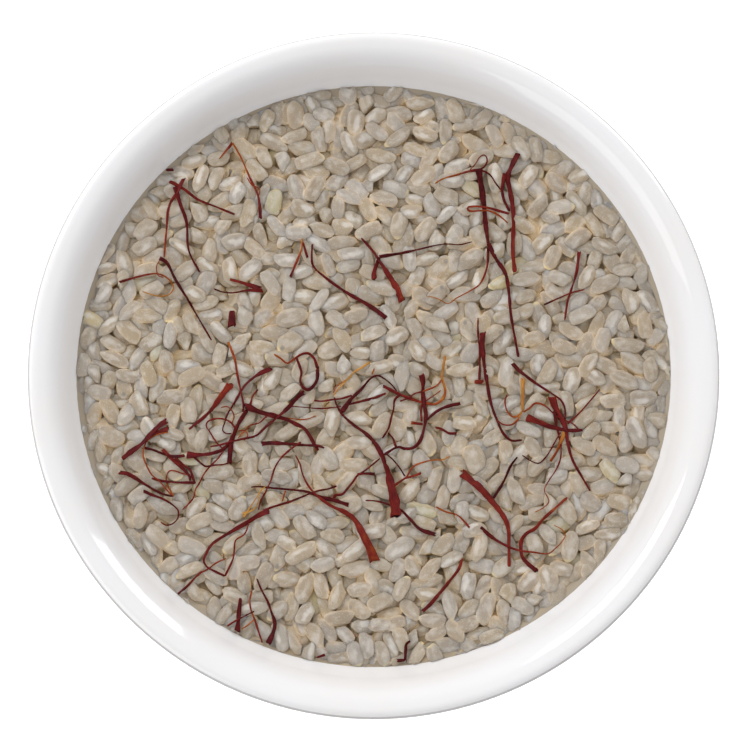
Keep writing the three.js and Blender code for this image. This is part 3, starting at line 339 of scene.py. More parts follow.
         (-16.1, -15.9), (-15.7, -14.8), (-14.8, -13.4), (-13.4, -12.1), (-11.7, -10.9)),
        (0.32, 0.8, 0, 0.15, (-19.6, -18.1), (-18.6, -18), (-15.7, -18.3), (-13.2, -18.5),
         (-10.9, -18.8), (-8.4, -19.7), (-6.2, -20.2), (-4.1, -20.9)),
        (0.32, 0.4, 0.05, 0.25, (-5.9, -17.9), (-7.4, -18.4), (-8.9, -18.7), (-10.3, -19.2),
         (-11.8, -19.8), (-13.6, -20.5), (-16.2, -21.3), (-17.6, -21.8)),
        (0.23, 0.26, 0.5, 0.5, (-14.6, -20.4), (-14.1, -18.7)),
    ),
    "horn": (
        (0.24, 1.77, 0.3, 0.45, (-12.5, -13), (-11.8, -14.4), (-11.4, -15.9), (-10.5, -17.8),
         (-9, -19.5), (-6.8, -21.1), (-4.6, -22.1), (-3.1, -23.2), (-2, -25), (-0.9, -27.3),
         (0.1, -29.9)),
    ),
    "sickle": (
        (0.24, 0.35, 0.5, 0.2, (-19.9, -23.8), (-20.6, -25.6), (-22, -26.6), (-22.2, -27.9),
         (-22.4, -29.5), (-23, -30.9), (-23.7, -32.3)),
        (0.35, 0.96, 0.2, 0.25, (-23.7, -32.3), (-25.2, -31.6), (-26.5, -30.9), (-27.1, -29.8),
         (-26.7, -28.7), (-25.9, -27.3), (-24.4, -26.2), (-22.4, -25), (-20.5, -23.9), (-18.6, -22.7),
         (-16.9, -22)),
        (0.24, 0.48, 0.5, 0.1, (-23.6, -29.5), (-25.1, -30.2), (-26.4, -31.2), (-27.7, -31.9),
         (-28.9, -33.1), (-30, -34.2), (-31.1, -35.1)),
    ),
    "yellow_wisp": (
        (0.16, 0.4, 0.96, 0.92, (-17.2, -17.9), (-18.1, -18.8), (-19, -20.2), (-19.8, -21.4),
         (-20.3, -22.2), (-20.8, -22.9)),
        (0.14, 0.36, 0.98, 0.88, (-17.9, -18.3), (-18.3, -19.4), (-18.5, -20.6), (-19.1, -21.6),
         (-20.1, -22.1), (-20.9, -22.3)),
    ),
    "spear": (
        (0.62, 1.15, 0.15, 0.1, (-21.2, -35.8), (-21.4, -38), (-21.6, -41.1)),
    ),
    "reeds": (
        (0.26, 0.32, 0.1, 0.35, (-19, -37.9), (-20.6, -38.7), (-22.1, -39.5), (-23.2, -40.2)),
        (0.29, 0.35, 0.55, 0.3, (-19.4, -34.6), (-19.7, -36.2), (-19.5, -37.7), (-18.8, -39.5),
         (-18.2, -41.4), (-17.7, -42.8)),
        (0.23, 0.24, 0.75, 0.75, (-19, -39.2), (-19.9, -40), (-20.9, -40.7)),
    ),
    "rod": (
        (0.29, 0.96, 0.1, 0.1, (-18.6, -32.7), (-17.9, -34.4), (-16.9, -36.3), (-16.2, -38.2),
         (-15.7, -39.8), (-16, -41.4), (-16.7, -42.9)),
    ),
    "scrap_front": (
        (0.48, 0.48, 0.05, 0.05, (5.8, -42.6), (5.2, -43.1), (5.1, -44.2), (5, -45.6)),
        (0.56, 0.56, 0.1, 0.1, (5, -45.6), (3.8, -45.7)),
    ),
    "scrap_left": (
        (0.35, 0.42, 0.15, 0.15, (-9, -45.2), (-7.8, -44.8)),
    ),
}


# ---- sizes and colours a user would change ----
def colour_setting(name, description, default):
    return bpy.props.FloatVectorProperty(
        name=name, description=description, default=default, subtype="COLOR", size=3)


def length_setting(name, description, default, precision):
    return bpy.props.FloatProperty(
        name=name, description=description, default=default, unit="LENGTH", subtype="DISTANCE",
        precision=precision)


def power_setting(name, description, default):
    return bpy.props.FloatProperty(
        name=name, description=description, default=default, unit="POWER")


class BowlSettings(bpy.types.PropertyGroup):
    steps: bpy.props.IntProperty(
        name="Steps", description="Flats round the bowl", default=160, min=24)
    glaze: colour_setting("Glaze", "Colour of the glazed porcelain", (0.87, 0.865, 0.878))
    # the edge colour is a painted shade: a grey line along the lip's outermost edge
    edge: colour_setting(
        "Edge", "Colour of the lip's outermost line, where the glaze is thin", (0.36, 0.35, 0.345))
    biscuit: colour_setting("Biscuit", "Colour of the bare foot ring", (0.66, 0.61, 0.54))


class RiceSettings(bpy.types.PropertyGroup):
    length: length_setting("Grain length", "Length of a middling grain", 4.7 * MM, 4)
    width: length_setting("Grain width", "Width of a middling grain", 2.85 * MM, 4)
    thickness: length_setting("Grain thickness", "Thickness of a middling grain", 1.85 * MM, 4)
    depth: length_setting("Loose depth", "How deep loose grains lie over the core", 4.4 * MM, 4)
    seed: bpy.props.IntProperty(name="Seed", description="Which heap falls out", default=7)
    clear: colour_setting("Clear", "Colour of a glassy grain", (0.307, 0.253, 0.202))
    # the chalk colour is the grains' opaque white; it also paints highlights on some grains and small
    # sparkles
    chalk_and_highlight: colour_setting("Chalk", "Colour of the opaque white of a grain", (0.73, 0.695, 0.648))
    germ: colour_setting("Germ", "Colour of a grain's germ end", (0.64, 0.52, 0.30))
    husk: colour_setting("Husk", "Colour of a grain that kept some husk", (0.42, 0.355, 0.20))
    # the pit colour is a painted shade: a grey spot standing in for the shadow in a pit that the mesh
    # does not have
    pit_shade: colour_setting("Pit", "Colour of the grey pit some grains have", (0.16, 0.155, 0.15))
    # the rim colour tints random patches, and towards each grain's edge it is painted light and shade of
    # the thin, translucent edge
    rim: colour_setting("Rim", "Colour towards the edge of a grain", (0.44, 0.37, 0.30))
    # the shade colour is a painted shade: the warm brown of rice deep in the shaded gaps; grains also
    # take some of it at random
    core: colour_setting("Shade", "Colour of the rice deep in the gaps", (0.60, 0.455, 0.27))


class SaffronSettings(bpy.types.PropertyGroup):
    ring_spacing: length_setting(
        "Ring spacing", "Distance between cross sections of a strand", 0.32 * MM, 5)
    thinnest: length_setting("Thinnest", "Thickness of the finest strand", 0.16 * MM, 5)
    thickest: length_setting("Thickest", "Thickness of the broadest strand", 0.42 * MM, 5)
    crimson: colour_setting("Crimson", "Colour of a strand's dark end", (0.045, 0.003, 0.004))
    red: colour_setting("Red", "Colour of most strands", (0.100, 0.007, 0.008))
    brick: colour_setting("Brick", "Colour of the flared ends", (0.18, 0.016, 0.009))
    orange: colour_setting("Orange", "Colour where a strand turns pale", (0.31, 0.072, 0.012))
    yellow: colour_setting("Yellow", "Colour of the pale styles", (0.46, 0.235, 0.05))


class StageSettings(bpy.types.PropertyGroup):
    distance: length_setting("Camera distance", "From the lens to the middle of the rim", 0.45, 2)
    elevation: bpy.props.FloatProperty(
        name="Camera elevation", description="Angle of the view above the table",
        default=math.radians(83), unit="ROTATION", subtype="ANGLE")
    lens: bpy.props.FloatProperty(
        name="Lens", description="Focal length in millimetres on a 36 mm sensor", default=135.07)
    key_power: power_setting("Key light", "Power of the softbox at the upper left, in watts", 2.6)
    window_power: power_setting(
        "Window light", "Power of the low window at the upper right, in watts", 4.4)
    fill_power: power_setting(
        "Fill light", "Power of the broad light at the lower left, in watts", 3.4)
    sky: bpy.props.FloatProperty(
        name="Sky", description="Strength of the light from all round", default=0.58)


# ---- small helpers ----
def settings(name):
    return getattr(bpy.context.scene, name)


def deselect_all():
    for thing in bpy.context.view_layer.objects:
        thing.select_set(False)


def rename(piece, name):
    piece.name = name
    piece.data.name = name
    return piece


def finish_piece(piece, slot, *nodes):
    """Attaches a finished piece to its body and hides the nodes it stands for; slot is not used."""
    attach(piece, BODY)
    if nodes:
        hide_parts(*nodes)


def mesh_piece(name, vertices, faces):
    """A smooth mesh object from arrays, in metres, for many small things joined into one."""
    mesh = bpy.data.meshes.new(name)
    mesh.from_pydata(vertices.tolist(), [], faces)
    mesh.polygons.foreach_set("use_smooth", [True] * len(mesh.polygons))
    mesh.update()
    piece = bpy.data.objects.new(name, mesh)
    bpy.context.scene.collection.objects.link(piece)
    return piece


def add_attribute(piece, name, values, kind="FLOAT"):
    layer = piece.data.attributes.new(name, kind, "POINT")
    field = "value" if kind == "FLOAT" else "vector"
    layer.data.foreach_set(field, np.asarray(values, np.float32).ravel())


# ---- node helpers ----
class Nodes:
    """Makes and wires the nodes of one material."""

    def __init__(self, name):
        self.material = bpy.data.materials.new(name)
        self.material.use_nodes = True
        self.tree = self.material.node_tree
        self.shader = self.tree.nodes["Principled BSDF"]

    def add(self, kind, **values):
        node = self.tree.nodes.new(kind)
        for key, value in values.items():
            setattr(node, key, value)
        return node

    def wire(self, source, target):
        self.tree.links.new(source, target)

    def feed(self, socket, value):
        if isinstance(value, bpy.types.NodeSocket):
            self.wire(value, socket)
        else:
            socket.default_value = value

    def set(self, **values):
        """Sets the shader's sockets: underscores in a name stand for spaces."""
        for key, value in values.items():
            self.feed(self.shader.inputs[key.replace("_", " ")], value)

    def attribute(self, name, output="Fac"):
        return self.add("ShaderNodeAttribute", attribute_name=name).outputs[output]

    def noise(self, vector, scale, detail=2.0, roughness=0.5):
        node = self.add("ShaderNodeTexNoise")
        self.wire(vector, node.inputs["Vector"])
        node.inputs["Scale"].default_value = scale
        node.inputs["Detail"].default_value = detail
        node.inputs["Roughness"].default_value = roughness
        return node.outputs["Fac"]

    def math(self, operation, *values):
        node = self.add("ShaderNodeMath", operation=operation)
        for socket, value in zip(node.inputs, values):
            self.feed(socket, value)
        return node.outputs[0]

    def range(self, value, low, high, to_low=0.0, to_high=1.0, smooth=True):
        node = self.add("ShaderNodeMapRange")
        node.interpolation_type = "SMOOTHSTEP" if smooth else "LINEAR"
        sockets = ("Value", "From Min", "From Max", "To Min", "To Max")
        for name, entry in zip(sockets, (value, low, high, to_low, to_high)):
            self.feed(node.inputs[name], entry)
        return node.outputs["Result"]

    def mix(self, share, first, second, blend="MIX"):
        node = self.add("ShaderNodeMix", data_type="RGBA", blend_type=blend)
        colours = [s for s in node.inputs if s.type == "RGBA"]
        self.feed(node.inputs[0], share)
        for socket, value in zip(colours, (first, second)):
            self.feed(socket, value if isinstance(value, bpy.types.NodeSocket) else (*value, 1))
        return [s for s in node.outputs if s.type == "RGBA"][0]

    def scaled(self, vector, scale, shift=(0, 0, 0)):
        node = self.add("ShaderNodeMapping")
        self.wire(vector, node.inputs["Vector"])
        node.inputs["Scale"].default_value = scale
        self.feed(node.inputs["Location"], shift)
        return node.outputs["Vector"]

    def apart(self, vector):
        """The three sides of a vector."""
        node = self.add("ShaderNodeSeparateXYZ")
        self.wire(vector, node.inputs["Vector"])
        return node.outputs["X"], node.outputs["Y"], node.outputs["Z"]

    def squares(self, first, second):
        powers = [self.math("POWER", side, 2.0) for side in (first, second)]
        return self.math("ADD", *powers)

    def length(self, first, second):
        return self.math("SQRT", self.squares(first, second))

    def fraction(self, value, factor):
        """Another random number from one."""
        return self.math("FRACT", self.math("MULTIPLY", value, factor))

    def object_coordinates(self):
        return self.add("ShaderNodeTexCoord").outputs["Object"]

    def bump(self, height, strength, distance):
        node = self.add("ShaderNodeBump")
        node.inputs["Strength"].default_value = strength
        node.inputs["Distance"].default_value = distance
        self.wire(height, node.inputs["Height"])
        return node.outputs["Normal"]


def shaded(colour, shares):
    """A colour with each channel taken down or up by its share."""
    return tuple(channel * share for channel, share in zip(colour, shares))


# ---- materials ----
LIP_SHADE_ENDS = (54.5, 54.75)  # radii between which a painted grey shade line darkens the lip's outermost edge, in millimetres
BARE_FOOT = 0.15  # height up to which the foot ring is bare
BARE_WOBBLE = 0.35  # and how far that line strays


def glaze_material():
    """White glazed porcelain: a faint orange-peel in the glaze, a bare ring under the foot, and a
    painted grey shade line on the lip's outermost edge.
    """
    s = settings("bowl_settings")
    n = Nodes("porcelain_glaze")
    where = n.object_coordinates()
    x, y, z = n.apart(where)
    cloud = n.noise(where, 38.0, detail=3.0)
    body = n.mix(n.range(cloud, 0.35, 0.7), s.glaze, shaded(s.glaze, (0.985, 0.975, 0.955)))
    # painted shade: the lip's outermost edge turns to the grey edge colour
    body = n.mix(n.range(n.length(x, y), *(radius * MM for radius in LIP_SHADE_ENDS)), body, s.edge)
    wobble = n.math("MULTIPLY", n.noise(where, 260.0, detail=1.0), BARE_WOBBLE * MM)
    bare = n.math("LESS_THAN", z, n.math("ADD", wobble, BARE_FOOT * MM))
    grit = n.noise(where, 2600.0, detail=4.0)
    biscuit = n.mix(n.range(grit, 0.4, 0.7), s.biscuit, shaded(s.biscuit, (0.8, 0.8, 0.8)))
    peel = n.noise(where, 420.0, detail=1.5)
    n.set(
        Base_Color=n.mix(bare, body, biscuit),
        Roughness=n.math("MULTIPLY_ADD", bare, 0.6, n.range(cloud, 0.2, 0.8, 0.07, 0.10)),
        Normal=n.bump(peel, 0.05, 0.06 * MM),
        IOR=1.5,
        Subsurface_Weight=0.12,
        Subsurface_Radius=(1.0, 0.95, 0.85),
        Subsurface_Scale=0.8 * MM,
        Coat_Weight=0.4,
        Coat_Roughness=0.03,
    )
    return n.material


COLLAR_TOP = (42.2, 43.2)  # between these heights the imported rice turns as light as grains
COLLAR_SHADE = (0.36, 0.30, 0.225)  # its colour there, a painted shade for the gaps between grains along the wall


def shade_material():
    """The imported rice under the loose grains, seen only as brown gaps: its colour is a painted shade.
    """
    s = settings("rice_settings")
    n = Nodes("rice_shade")
    where = n.object_coordinates()
    # painted shade: the packed rice is darker towards the borders of its lumps, as in crevices
    lumps = n.add("ShaderNodeTexVoronoi")
    n.wire(where, lumps.inputs["Vector"])
    lumps.inputs["Scale"].default_value = 310.0
    light = n.range(lumps.outputs["Distance"], 0.1, 0.75)
    packed = n.mix(light, s.core, shaded(s.core, (0.45, 0.45, 0.45)))
    height = n.apart(where)[2]
    # painted shade: near the wall the rice turns to the collar's shade colour
    by_wall = n.range(height, *(top * MM for top in COLLAR_TOP))
    n.set(
        Base_Color=n.mix(by_wall, packed, COLLAR_SHADE),
        Roughness=0.6,
        Normal=n.bump(n.noise(where, 900.0), 0.4, 0.2 * MM),
    )
    return n.material


DEEP_GLOW_TINT = (1.16, 1.04, 0.80)  # painted light: a grain's colour deep in the gaps, warmer and a little lighter, as shares of that on top
FLANK_GLOW_TINT = (1.22, 1.16, 1.06)  # and on its steep sides, lighter: a painted glow of the light that leaves the grain from within
SCATTER_REACH = (1.0, 0.8, 0.55)  # how far each colour of light goes inside a grain
SCATTER_SCALE = 2.0  # what these are shares of, in millimetres
GRAIN_DRIFT = (37.0, 91.0, 53.0)  # sets the patterns of each grain apart, by its random draw
PIT_SHADE_SHARE = 0.06  # share of the grains with a painted pit shade, a grey spot


def mottle(n, body, draw, placed, cloud):
    """Makes grains differ, each one cloudy in its own way and flecked with painted sparkle."""
    s = settings("rice_settings")
    fair = n.fraction(draw, 7.3)
    body = n.mix(n.range(fair, 0.0, 1.0, 0.30, 0.0), body, s.core)
    body = n.mix(n.range(fair, 0.6, 1.0, 0.0, 0.22), body, s.chalk_and_highlight)
    body = n.mix(n.range(cloud, 0.42, 0.72, 0.0, 0.35), body, s.chalk_and_highlight)
    # painted sparkle: small bright specks in the chalk colour, standing in for glints of light
    sparkle = n.noise(placed, 11.0, detail=1.0)
    body = n.mix(n.range(sparkle, 0.60, 0.72, 0.0, 0.30), body, s.chalk_and_highlight)
    patch = n.noise(n.object_coordinates(), 75.0, detail=1.0)
    return n.mix(n.range(patch, 0.35, 0.65, 0.0, 0.22), body, s.rim)


def chalk_heart_and_highlight(n, body, draw, along, across, cloud, strength):
    """The ragged opaque white in a grain's middle, a little off its centre: partly chalk, partly a
    painted highlight.
    """
    shift = n.range(draw, 0.0, 1.0, -0.35, 0.35, smooth=False)
    lean = n.math("MULTIPLY", n.math("SUBTRACT", along, shift), 1.1)
    side = n.math("MULTIPLY", n.math("ADD", across, shift), 1.9)
    ragged = n.math("ADD", n.length(lean, side), n.range(cloud, 0.3, 0.7, 0.2, -0.2))
    heart = n.math("MULTIPLY", n.range(ragged, 0.95, 0.25), strength)
    return n.mix(heart, body, settings("rice_settings").chalk_and_highlight)


def germ_tip(n, body, along, strength):
    """The cream scar of the germ at a grain's end, brown at its very tip."""
    germ = settings("rice_settings").germ
    body = n.mix(n.math("MULTIPLY", n.range(along, 0.70, 0.93), strength), body, germ)
    brown = n.math("MULTIPLY", n.range(along, 0.93, 1.0), 0.6 * strength)
    return n.mix(brown, body, shaded(germ, (0.6, 0.6, 0.6)))


def painted_pit_shade(n, body, draw, along, across):
    """A small grey spot near one end of some grains: painted shade of a pit the mesh does not have."""
    with_pit_shade = n.math("LESS_THAN", n.fraction(draw, 13.7), PIT_SHADE_SHARE)
    lean = n.math("MULTIPLY", n.math("SUBTRACT", along, 0.62), 4.5)
    side = n.math("MULTIPLY", n.math("ADD", across, 0.25), 3.0)
    spot = n.range(n.squares(lean, side), 1.0, 0.0, 0.0, 0.55)
    return n.mix(n.math("MULTIPLY", spot, with_pit_shade), body, settings("rice_settings").pit_shade)


def grain_material(name, base, chalk_and_highlight, germ):
    """A rice grain in its own coordinates: 'own' runs -1 to 1 along and across each grain and
    'draw' is one random number for the whole grain. The chalk strength is that of the opaque
    white in its middle, partly a painted highlight, and germ that of the cream scar at its end."""
    n = Nodes(name)
    own = n.attribute("own", "Vector")
    draw = n.attribute("draw")
    along, across, _ = n.apart(own)
    drift = n.add("ShaderNodeCombineXYZ")
    for axis, step in zip("XYZ", GRAIN_DRIFT):
        n.wire(n.math("MULTIPLY", draw, step), drift.inputs[axis])
    placed = n.scaled(own, (0.8, 0.65, 0.5), drift.outputs["Vector"])
    cloud = n.noise(placed, 1.9, detail=2.5)
    skin = n.noise(placed, 7.0, detail=4.0, roughness=0.65)
    body = n.mix(draw, shaded(base, (0.97, 1.0, 1.05)), shaded(base, (1.0, 0.97, 0.88)))
    body = mottle(n, body, draw, placed, cloud)
    # painted light and shade: a tan tone towards each grain's edge, for light passing through its thin,
    # translucent edge
    edge = n.range(n.length(along, across), 0.72, 1.0, 0.0, 0.55)
    body = n.mix(edge, body, settings("rice_settings").rim)
    # opaque white in the middle, partly chalk and partly a painted highlight
    body = chalk_heart_and_highlight(n, body, draw, along, across, cloud, chalk_and_highlight)
    body = germ_tip(n, body, along, germ)
    # painted light: steep sides and grains deep in the gaps are tinted lighter and warmer, for light that
    # passes through the translucent rice
    for attribute, tint in (("flank", FLANK_GLOW_TINT), ("deep", DEEP_GLOW_TINT)):
        body = n.mix(n.attribute(attribute), body, n.mix(1.0, body, tint, blend="MULTIPLY"))
    n.set(
        Base_Color=painted_pit_shade(n, body, draw, along, across),
        Roughness=n.range(skin, 0.3, 0.7, 0.38, 0.5),
        Normal=n.bump(skin, 0.6, 0.12 * MM),
        IOR=1.4,
        Subsurface_Weight=1.0,
        Subsurface_Radius=SCATTER_REACH,
        Subsurface_Scale=SCATTER_SCALE * MM,
    )
    n.shader.subsurface_method = "BURLEY"
    return n.material


def saffron_material():
    """Dried stigma: tone along the strand, fine lengthwise streaks and a dry sheen."""
    s = settings("saffron_settings")
    n = Nodes("saffron_strand")
    tone = n.attribute("tone")
    strip = n.attribute("strip", "Vector")
    streak = n.noise(n.scaled(strip, (0.55, 2.6, 1.0)), 1.0, detail=3.0, roughness=0.6)
    blotch = n.noise(n.scaled(strip, (0.9, 0.3, 1.0)), 1.0, detail=1.0)
    shifted = n.math("ADD", tone, n.range(blotch, 0.3, 0.75, -0.07, 0.10))
    ramp = n.add("ShaderNodeValToRGB")
    stops = ((0.0, s.crimson), (0.18, s.red), (0.42, s.brick), (0.68, s.orange), (0.95, s.yellow))
    elements = ramp.color_ramp.elements
    while len(elements) < len(stops):
        elements.new(0.5)
    for element, (place, colour) in zip(elements, stops):
        element.position = place
        element.color = (*colour, 1)
    n.wire(shifted, ramp.inputs["Fac"])
    light = n.range(streak, 0.3, 0.72, 0.6, 1.45)
    combine = n.add("ShaderNodeCombineColor")
    for channel in ("Red", "Green", "Blue"):
        n.wire(light, combine.inputs[channel])
    n.set(
        Base_Color=n.mix(1.0, ramp.outputs["Color"], combine.outputs[0], blend="MULTIPLY"),
        Roughness=n.range(streak, 0.3, 0.7, 0.42, 0.62),
        Normal=n.bump(streak, 0.5, 0.08 * MM),
        IOR=1.45,
        Subsurface_Weight=0.25,
        Subsurface_Radius=(1.0, 0.25, 0.12),
        Subsurface_Scale=0.25 * MM,
        Specular_IOR_Level=0.12,
    )
    return n.material


# ---- the bowl ----
CURVE_STEPS = 10  # straight pieces to each knot of a profile
SEAM = 0.004  # points closer than this are one, in millimetres
CREASE = math.radians(50)  # edges sharper than this stay sharp


def draw_profile(knots):
    """Draws a profile in the XZ plane as a bezier curve and turns it into a line of edges."""
    bpy.ops.curve.primitive_bezier_curve_add(location=(0, 0, 0))
    curve = bpy.context.object
    curve.data.resolution_u = CURVE_STEPS
    spline = curve.data.splines[0]
    spline.bezier_points.add(len(knots) - len(spline.bezier_points))

    def place(pair):
        return pair[0] * MM, 0.0, pair[1] * MM

    for point, (at, before, after) in zip(spline.bezier_points, knots):
        point.handle_left_type = "FREE" if before else "VECTOR"
        point.handle_right_type = "FREE" if after else "VECTOR"
        point.co = place(at)
        if before:
            point.handle_left = place(before)
        if after:
            point.handle_right = place(after)
    bpy.ops.object.convert(target="MESH")
    return bpy.context.object


def spin_round(piece, steps):
    """Spins a profile whose ends lie on the axis into one closed skin that faces out."""
    bpy.ops.object.mode_set(mode="EDIT")
    bpy.ops.mesh.select_all(action="SELECT")
    bpy.ops.mesh.spin(steps=steps, angle=2 * math.pi, center=(0, 0, 0), axis=(0, 0, 1))
    bpy.ops.mesh.select_all(action="SELECT")
    bpy.ops.mesh.remove_doubles(threshold=SEAM * MM)
    bpy.ops.mesh.normals_make_consistent(inside=False)
    bpy.ops.object.mode_set(mode="OBJECT")
    bpy.ops.object.shade_smooth_by_angle(angle=CREASE)
    return piece


class BOWL_OT_build_bowl(bpy.types.Operator):
    """Spins the glazed bowl from its profile"""

    bl_idname = "rice_bowl.build_bowl"
    bl_label = "Build bowl"

    def execute(self, context):
        deselect_all()
        piece = spin_round(draw_profile(BOWL_PROFILE), settings("bowl_settings").steps)
        rename(piece, "bowl_glazed")
        piece.data.materials.clear()
        piece.data.materials.append(glaze_material())
        finish_piece(piece, "glaze", "bowl")
        return {"FINISHED"}


# ---- height grids ----
def grid_axis():
    """Middles of the grid's cells along one side, in millimetres."""
    return (np.arange(GRID_SIDE) + 0.5) * GRID_CELL - GRID_HALF


def wall_curve():
    """Radius and height down the inside of the bowl, in millimetres."""
    deselect_all()
    line = draw_profile(BOWL_PROFILE[INSIDE:])
    points = np.array([v.co for v in line.data.vertices]) / MM
    bpy.data.objects.remove(line)
    order = np.argsort(points[:, 0])
    return points[order, 0], points[order, 2]


def wall_grid(inset):
    """Height of the bowl's inside over the grid, as if the wall stood further out by inset."""
    radius, height = wall_curve()
    x, y = np.meshgrid(grid_axis(), grid_axis())
    return np.interp(np.hypot(x, y) - inset, radius, height)


def rice_level():
    """Mean height of the rice over the grid, taken from the CAD heap and evened out."""
    heap = frame["nodes"]["rice_heap"].data
    tree = BVHTree.FromPolygons([v.co for v in heap.vertices], [p.vertices for p in heap.polygons])
    axis = np.arange(-GRID_HALF, GRID_HALF + LEVEL_CELL / 2, LEVEL_CELL)
    level = np.full((len(axis), len(axis)), np.nan)
    for row, y in enumerate(axis):
        for column, x in enumerate(axis):
            hit = tree.ray_cast(Vector((x * MM, y * MM, HIGH)), Vector((0, 0, -1)))[0]
            if hit is not None:
                level[row, column] = hit.z / MM
    known = ~np.isnan(level)
    total, weight = np.where(known, level, 0.0), known.astype(float)
    for _ in range(LEVEL_ROUNDS):
        total, weight = soften(total, 1), soften(weight, 1)
    level = total / np.maximum(weight, 1e-9)
    fine = grid_axis()
    place = (fine + GRID_HALF) / LEVEL_CELL
    low = np.clip(place.astype(int), 0, len(axis) - 2)
    part = place - low
    rows = level[low] * (1 - part[:, None]) + level[low + 1] * part[:, None]
    return rows[:, low] * (1 - part) + rows[:, low + 1] * part


def soften(grid, reach):
    """Box mean over reach cells each way, with the border held."""
    for axis in (0, 1):
        padded = np.pad(grid, [(reach, reach) if a == axis else (0, 0) for a in (0, 1)], "edge")
        count = grid.shape[axis]
        grid = sum(np.take(padded, range(k, k + count), axis) for k in range(2 * reach + 1))
        grid = grid / (2 * reach + 1)
    return grid


def spread(grid, reach):
    """Highest value within reach cells each way."""
    for axis in (0, 1):
        padded = np.pad(grid, [(reach, reach) if a == axis else (0, 0) for a in (0, 1)], "edge")
        count = grid.shape[axis]
        grid = np.max([np.take(padded, range(k, k + count), axis) for k in range(2 * reach + 1)], 0)
    return grid


def look_up(grid, x, y):
    """Bilinear reading of a grid at points in millimetres."""
    column = np.clip((np.asarray(x) + GRID_HALF) / GRID_CELL - 0.5, 0, GRID_SIDE - 1.001)
    row = np.clip((np.asarray(y) + GRID_HALF) / GRID_CELL - 0.5, 0, GRID_SIDE - 1.001)
    c, r = column.astype(int), row.astype(int)
    u, v = column - c, row - r
    lower = grid[r, c] * (1 - u) + grid[r, c + 1] * u
    upper = grid[r + 1, c] * (1 - u) + grid[r + 1, c + 1] * u
    return lower * (1 - v) + upper * v


def edge_height(angle):
    """Height of the rice where it meets the wall, in millimetres."""
    return EDGE_MEAN + EDGE_SADDLE * np.cos(2 * angle) + EDGE_TILT * np.sin(angle)


def edge_radius(angle):
    """Radius of the line where the rice meets the wall, in millimetres."""
    (r0, z0), (r1, z1) = RICE_LINE
    return r0 + (edge_height(angle) - z0) * (r1 - r0) / (z1 - z0)


# ---- the rice core ----
CORE_STEPS = 96  # flats round the core
CORE_DEPTH = 2.6  # the core's top under the mean height of the edge
CORE_CLEARANCE = 0.2  # between the core and the bowl's inside, under the rice
CORE_FLAT = 6.0  # how far from the wall the core's flat top ends
CORE_FOOT = 1.2  # and its steep side along the wall begins
CORE_MARGIN = 0.1  # what is this far over the flat top belongs to the collar
COLLAR = ((2.4, 1.6), (1.0, 0.65), (-0.05, 0.02))  # insets from the wall, drops below the edge


class BOWL_OT_build_core(bpy.types.Operator):
    """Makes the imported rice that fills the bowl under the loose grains"""

    bl_idname = "rice_bowl.build_core"
    bl_label = "Build rice core"

    def execute(self, context):
        radius, height = wall_curve()
        top = EDGE_MEAN - CORE_DEPTH
        rim = float(np.interp(EDGE_MEAN, height, radius))
        outer = (radius > CORE_CLEARANCE) & (radius < rim - CORE_FOOT)
        under = list(zip(radius[outer], height[outer] + CORE_CLEARANCE))
        profile = [(0, top), (rim - CORE_FLAT, top)]
        profile += [(rim - inset, EDGE_MEAN - drop) for inset, drop in COLLAR]
        profile += under[::-1] + [(0, height[0] + CORE_CLEARANCE)]
        deselect_all()
        line = draw_profile([(point, None, None) for point in profile])
        piece = spin_round(line, CORE_STEPS)
        for vertex in piece.data.vertices:
            x, y, z = vertex.co / MM
            if z > top + CORE_MARGIN:
                angle = math.atan2(y, x)
                share = (z - top) / (EDGE_MEAN - top)
                vertex.co.z += (edge_height(angle) - EDGE_MEAN) * share * MM
                out = 1 + (edge_radius(angle) - rim) / rim
                vertex.co.x *= out
                vertex.co.y *= out
        rename(piece, "rice_core")
        piece.data.materials.clear()
        piece.data.materials.append(shade_material())
        finish_piece(piece, "rice", "rice_heap")
        return {"FINISHED"}


# ---- loose grains ----
GRAIN_SEGMENTS = 8
GRAIN_RINGS = 9
# Bands along a grain, from its middle out, that are widened to blunt its ends, and each one's
# share of the bluntness.
BLUNT_BANDS = ((0.85, 0.97, 1.0), (0.6, 0.85, 0.5), (0.3, 0.6, 0.2))
GERM_CORNER = (0.7, 0.1)  # beyond this along and across the grain its end slopes
BELLY_EDGE = -0.6  # beyond this across the grain its side is flatter


def select_where(piece, wanted):
    """Selects, in edit mode, the vertices whose place passes a test."""
    bpy.ops.mesh.select_mode(type="VERT")
    bpy.ops.mesh.select_all(action="DESELECT")
    bpy.ops.object.mode_set(mode="OBJECT")
    for vertex in piece.data.vertices:
        vertex.select = bool(wanted(vertex.co))
    bpy.ops.object.mode_set(mode="EDIT")


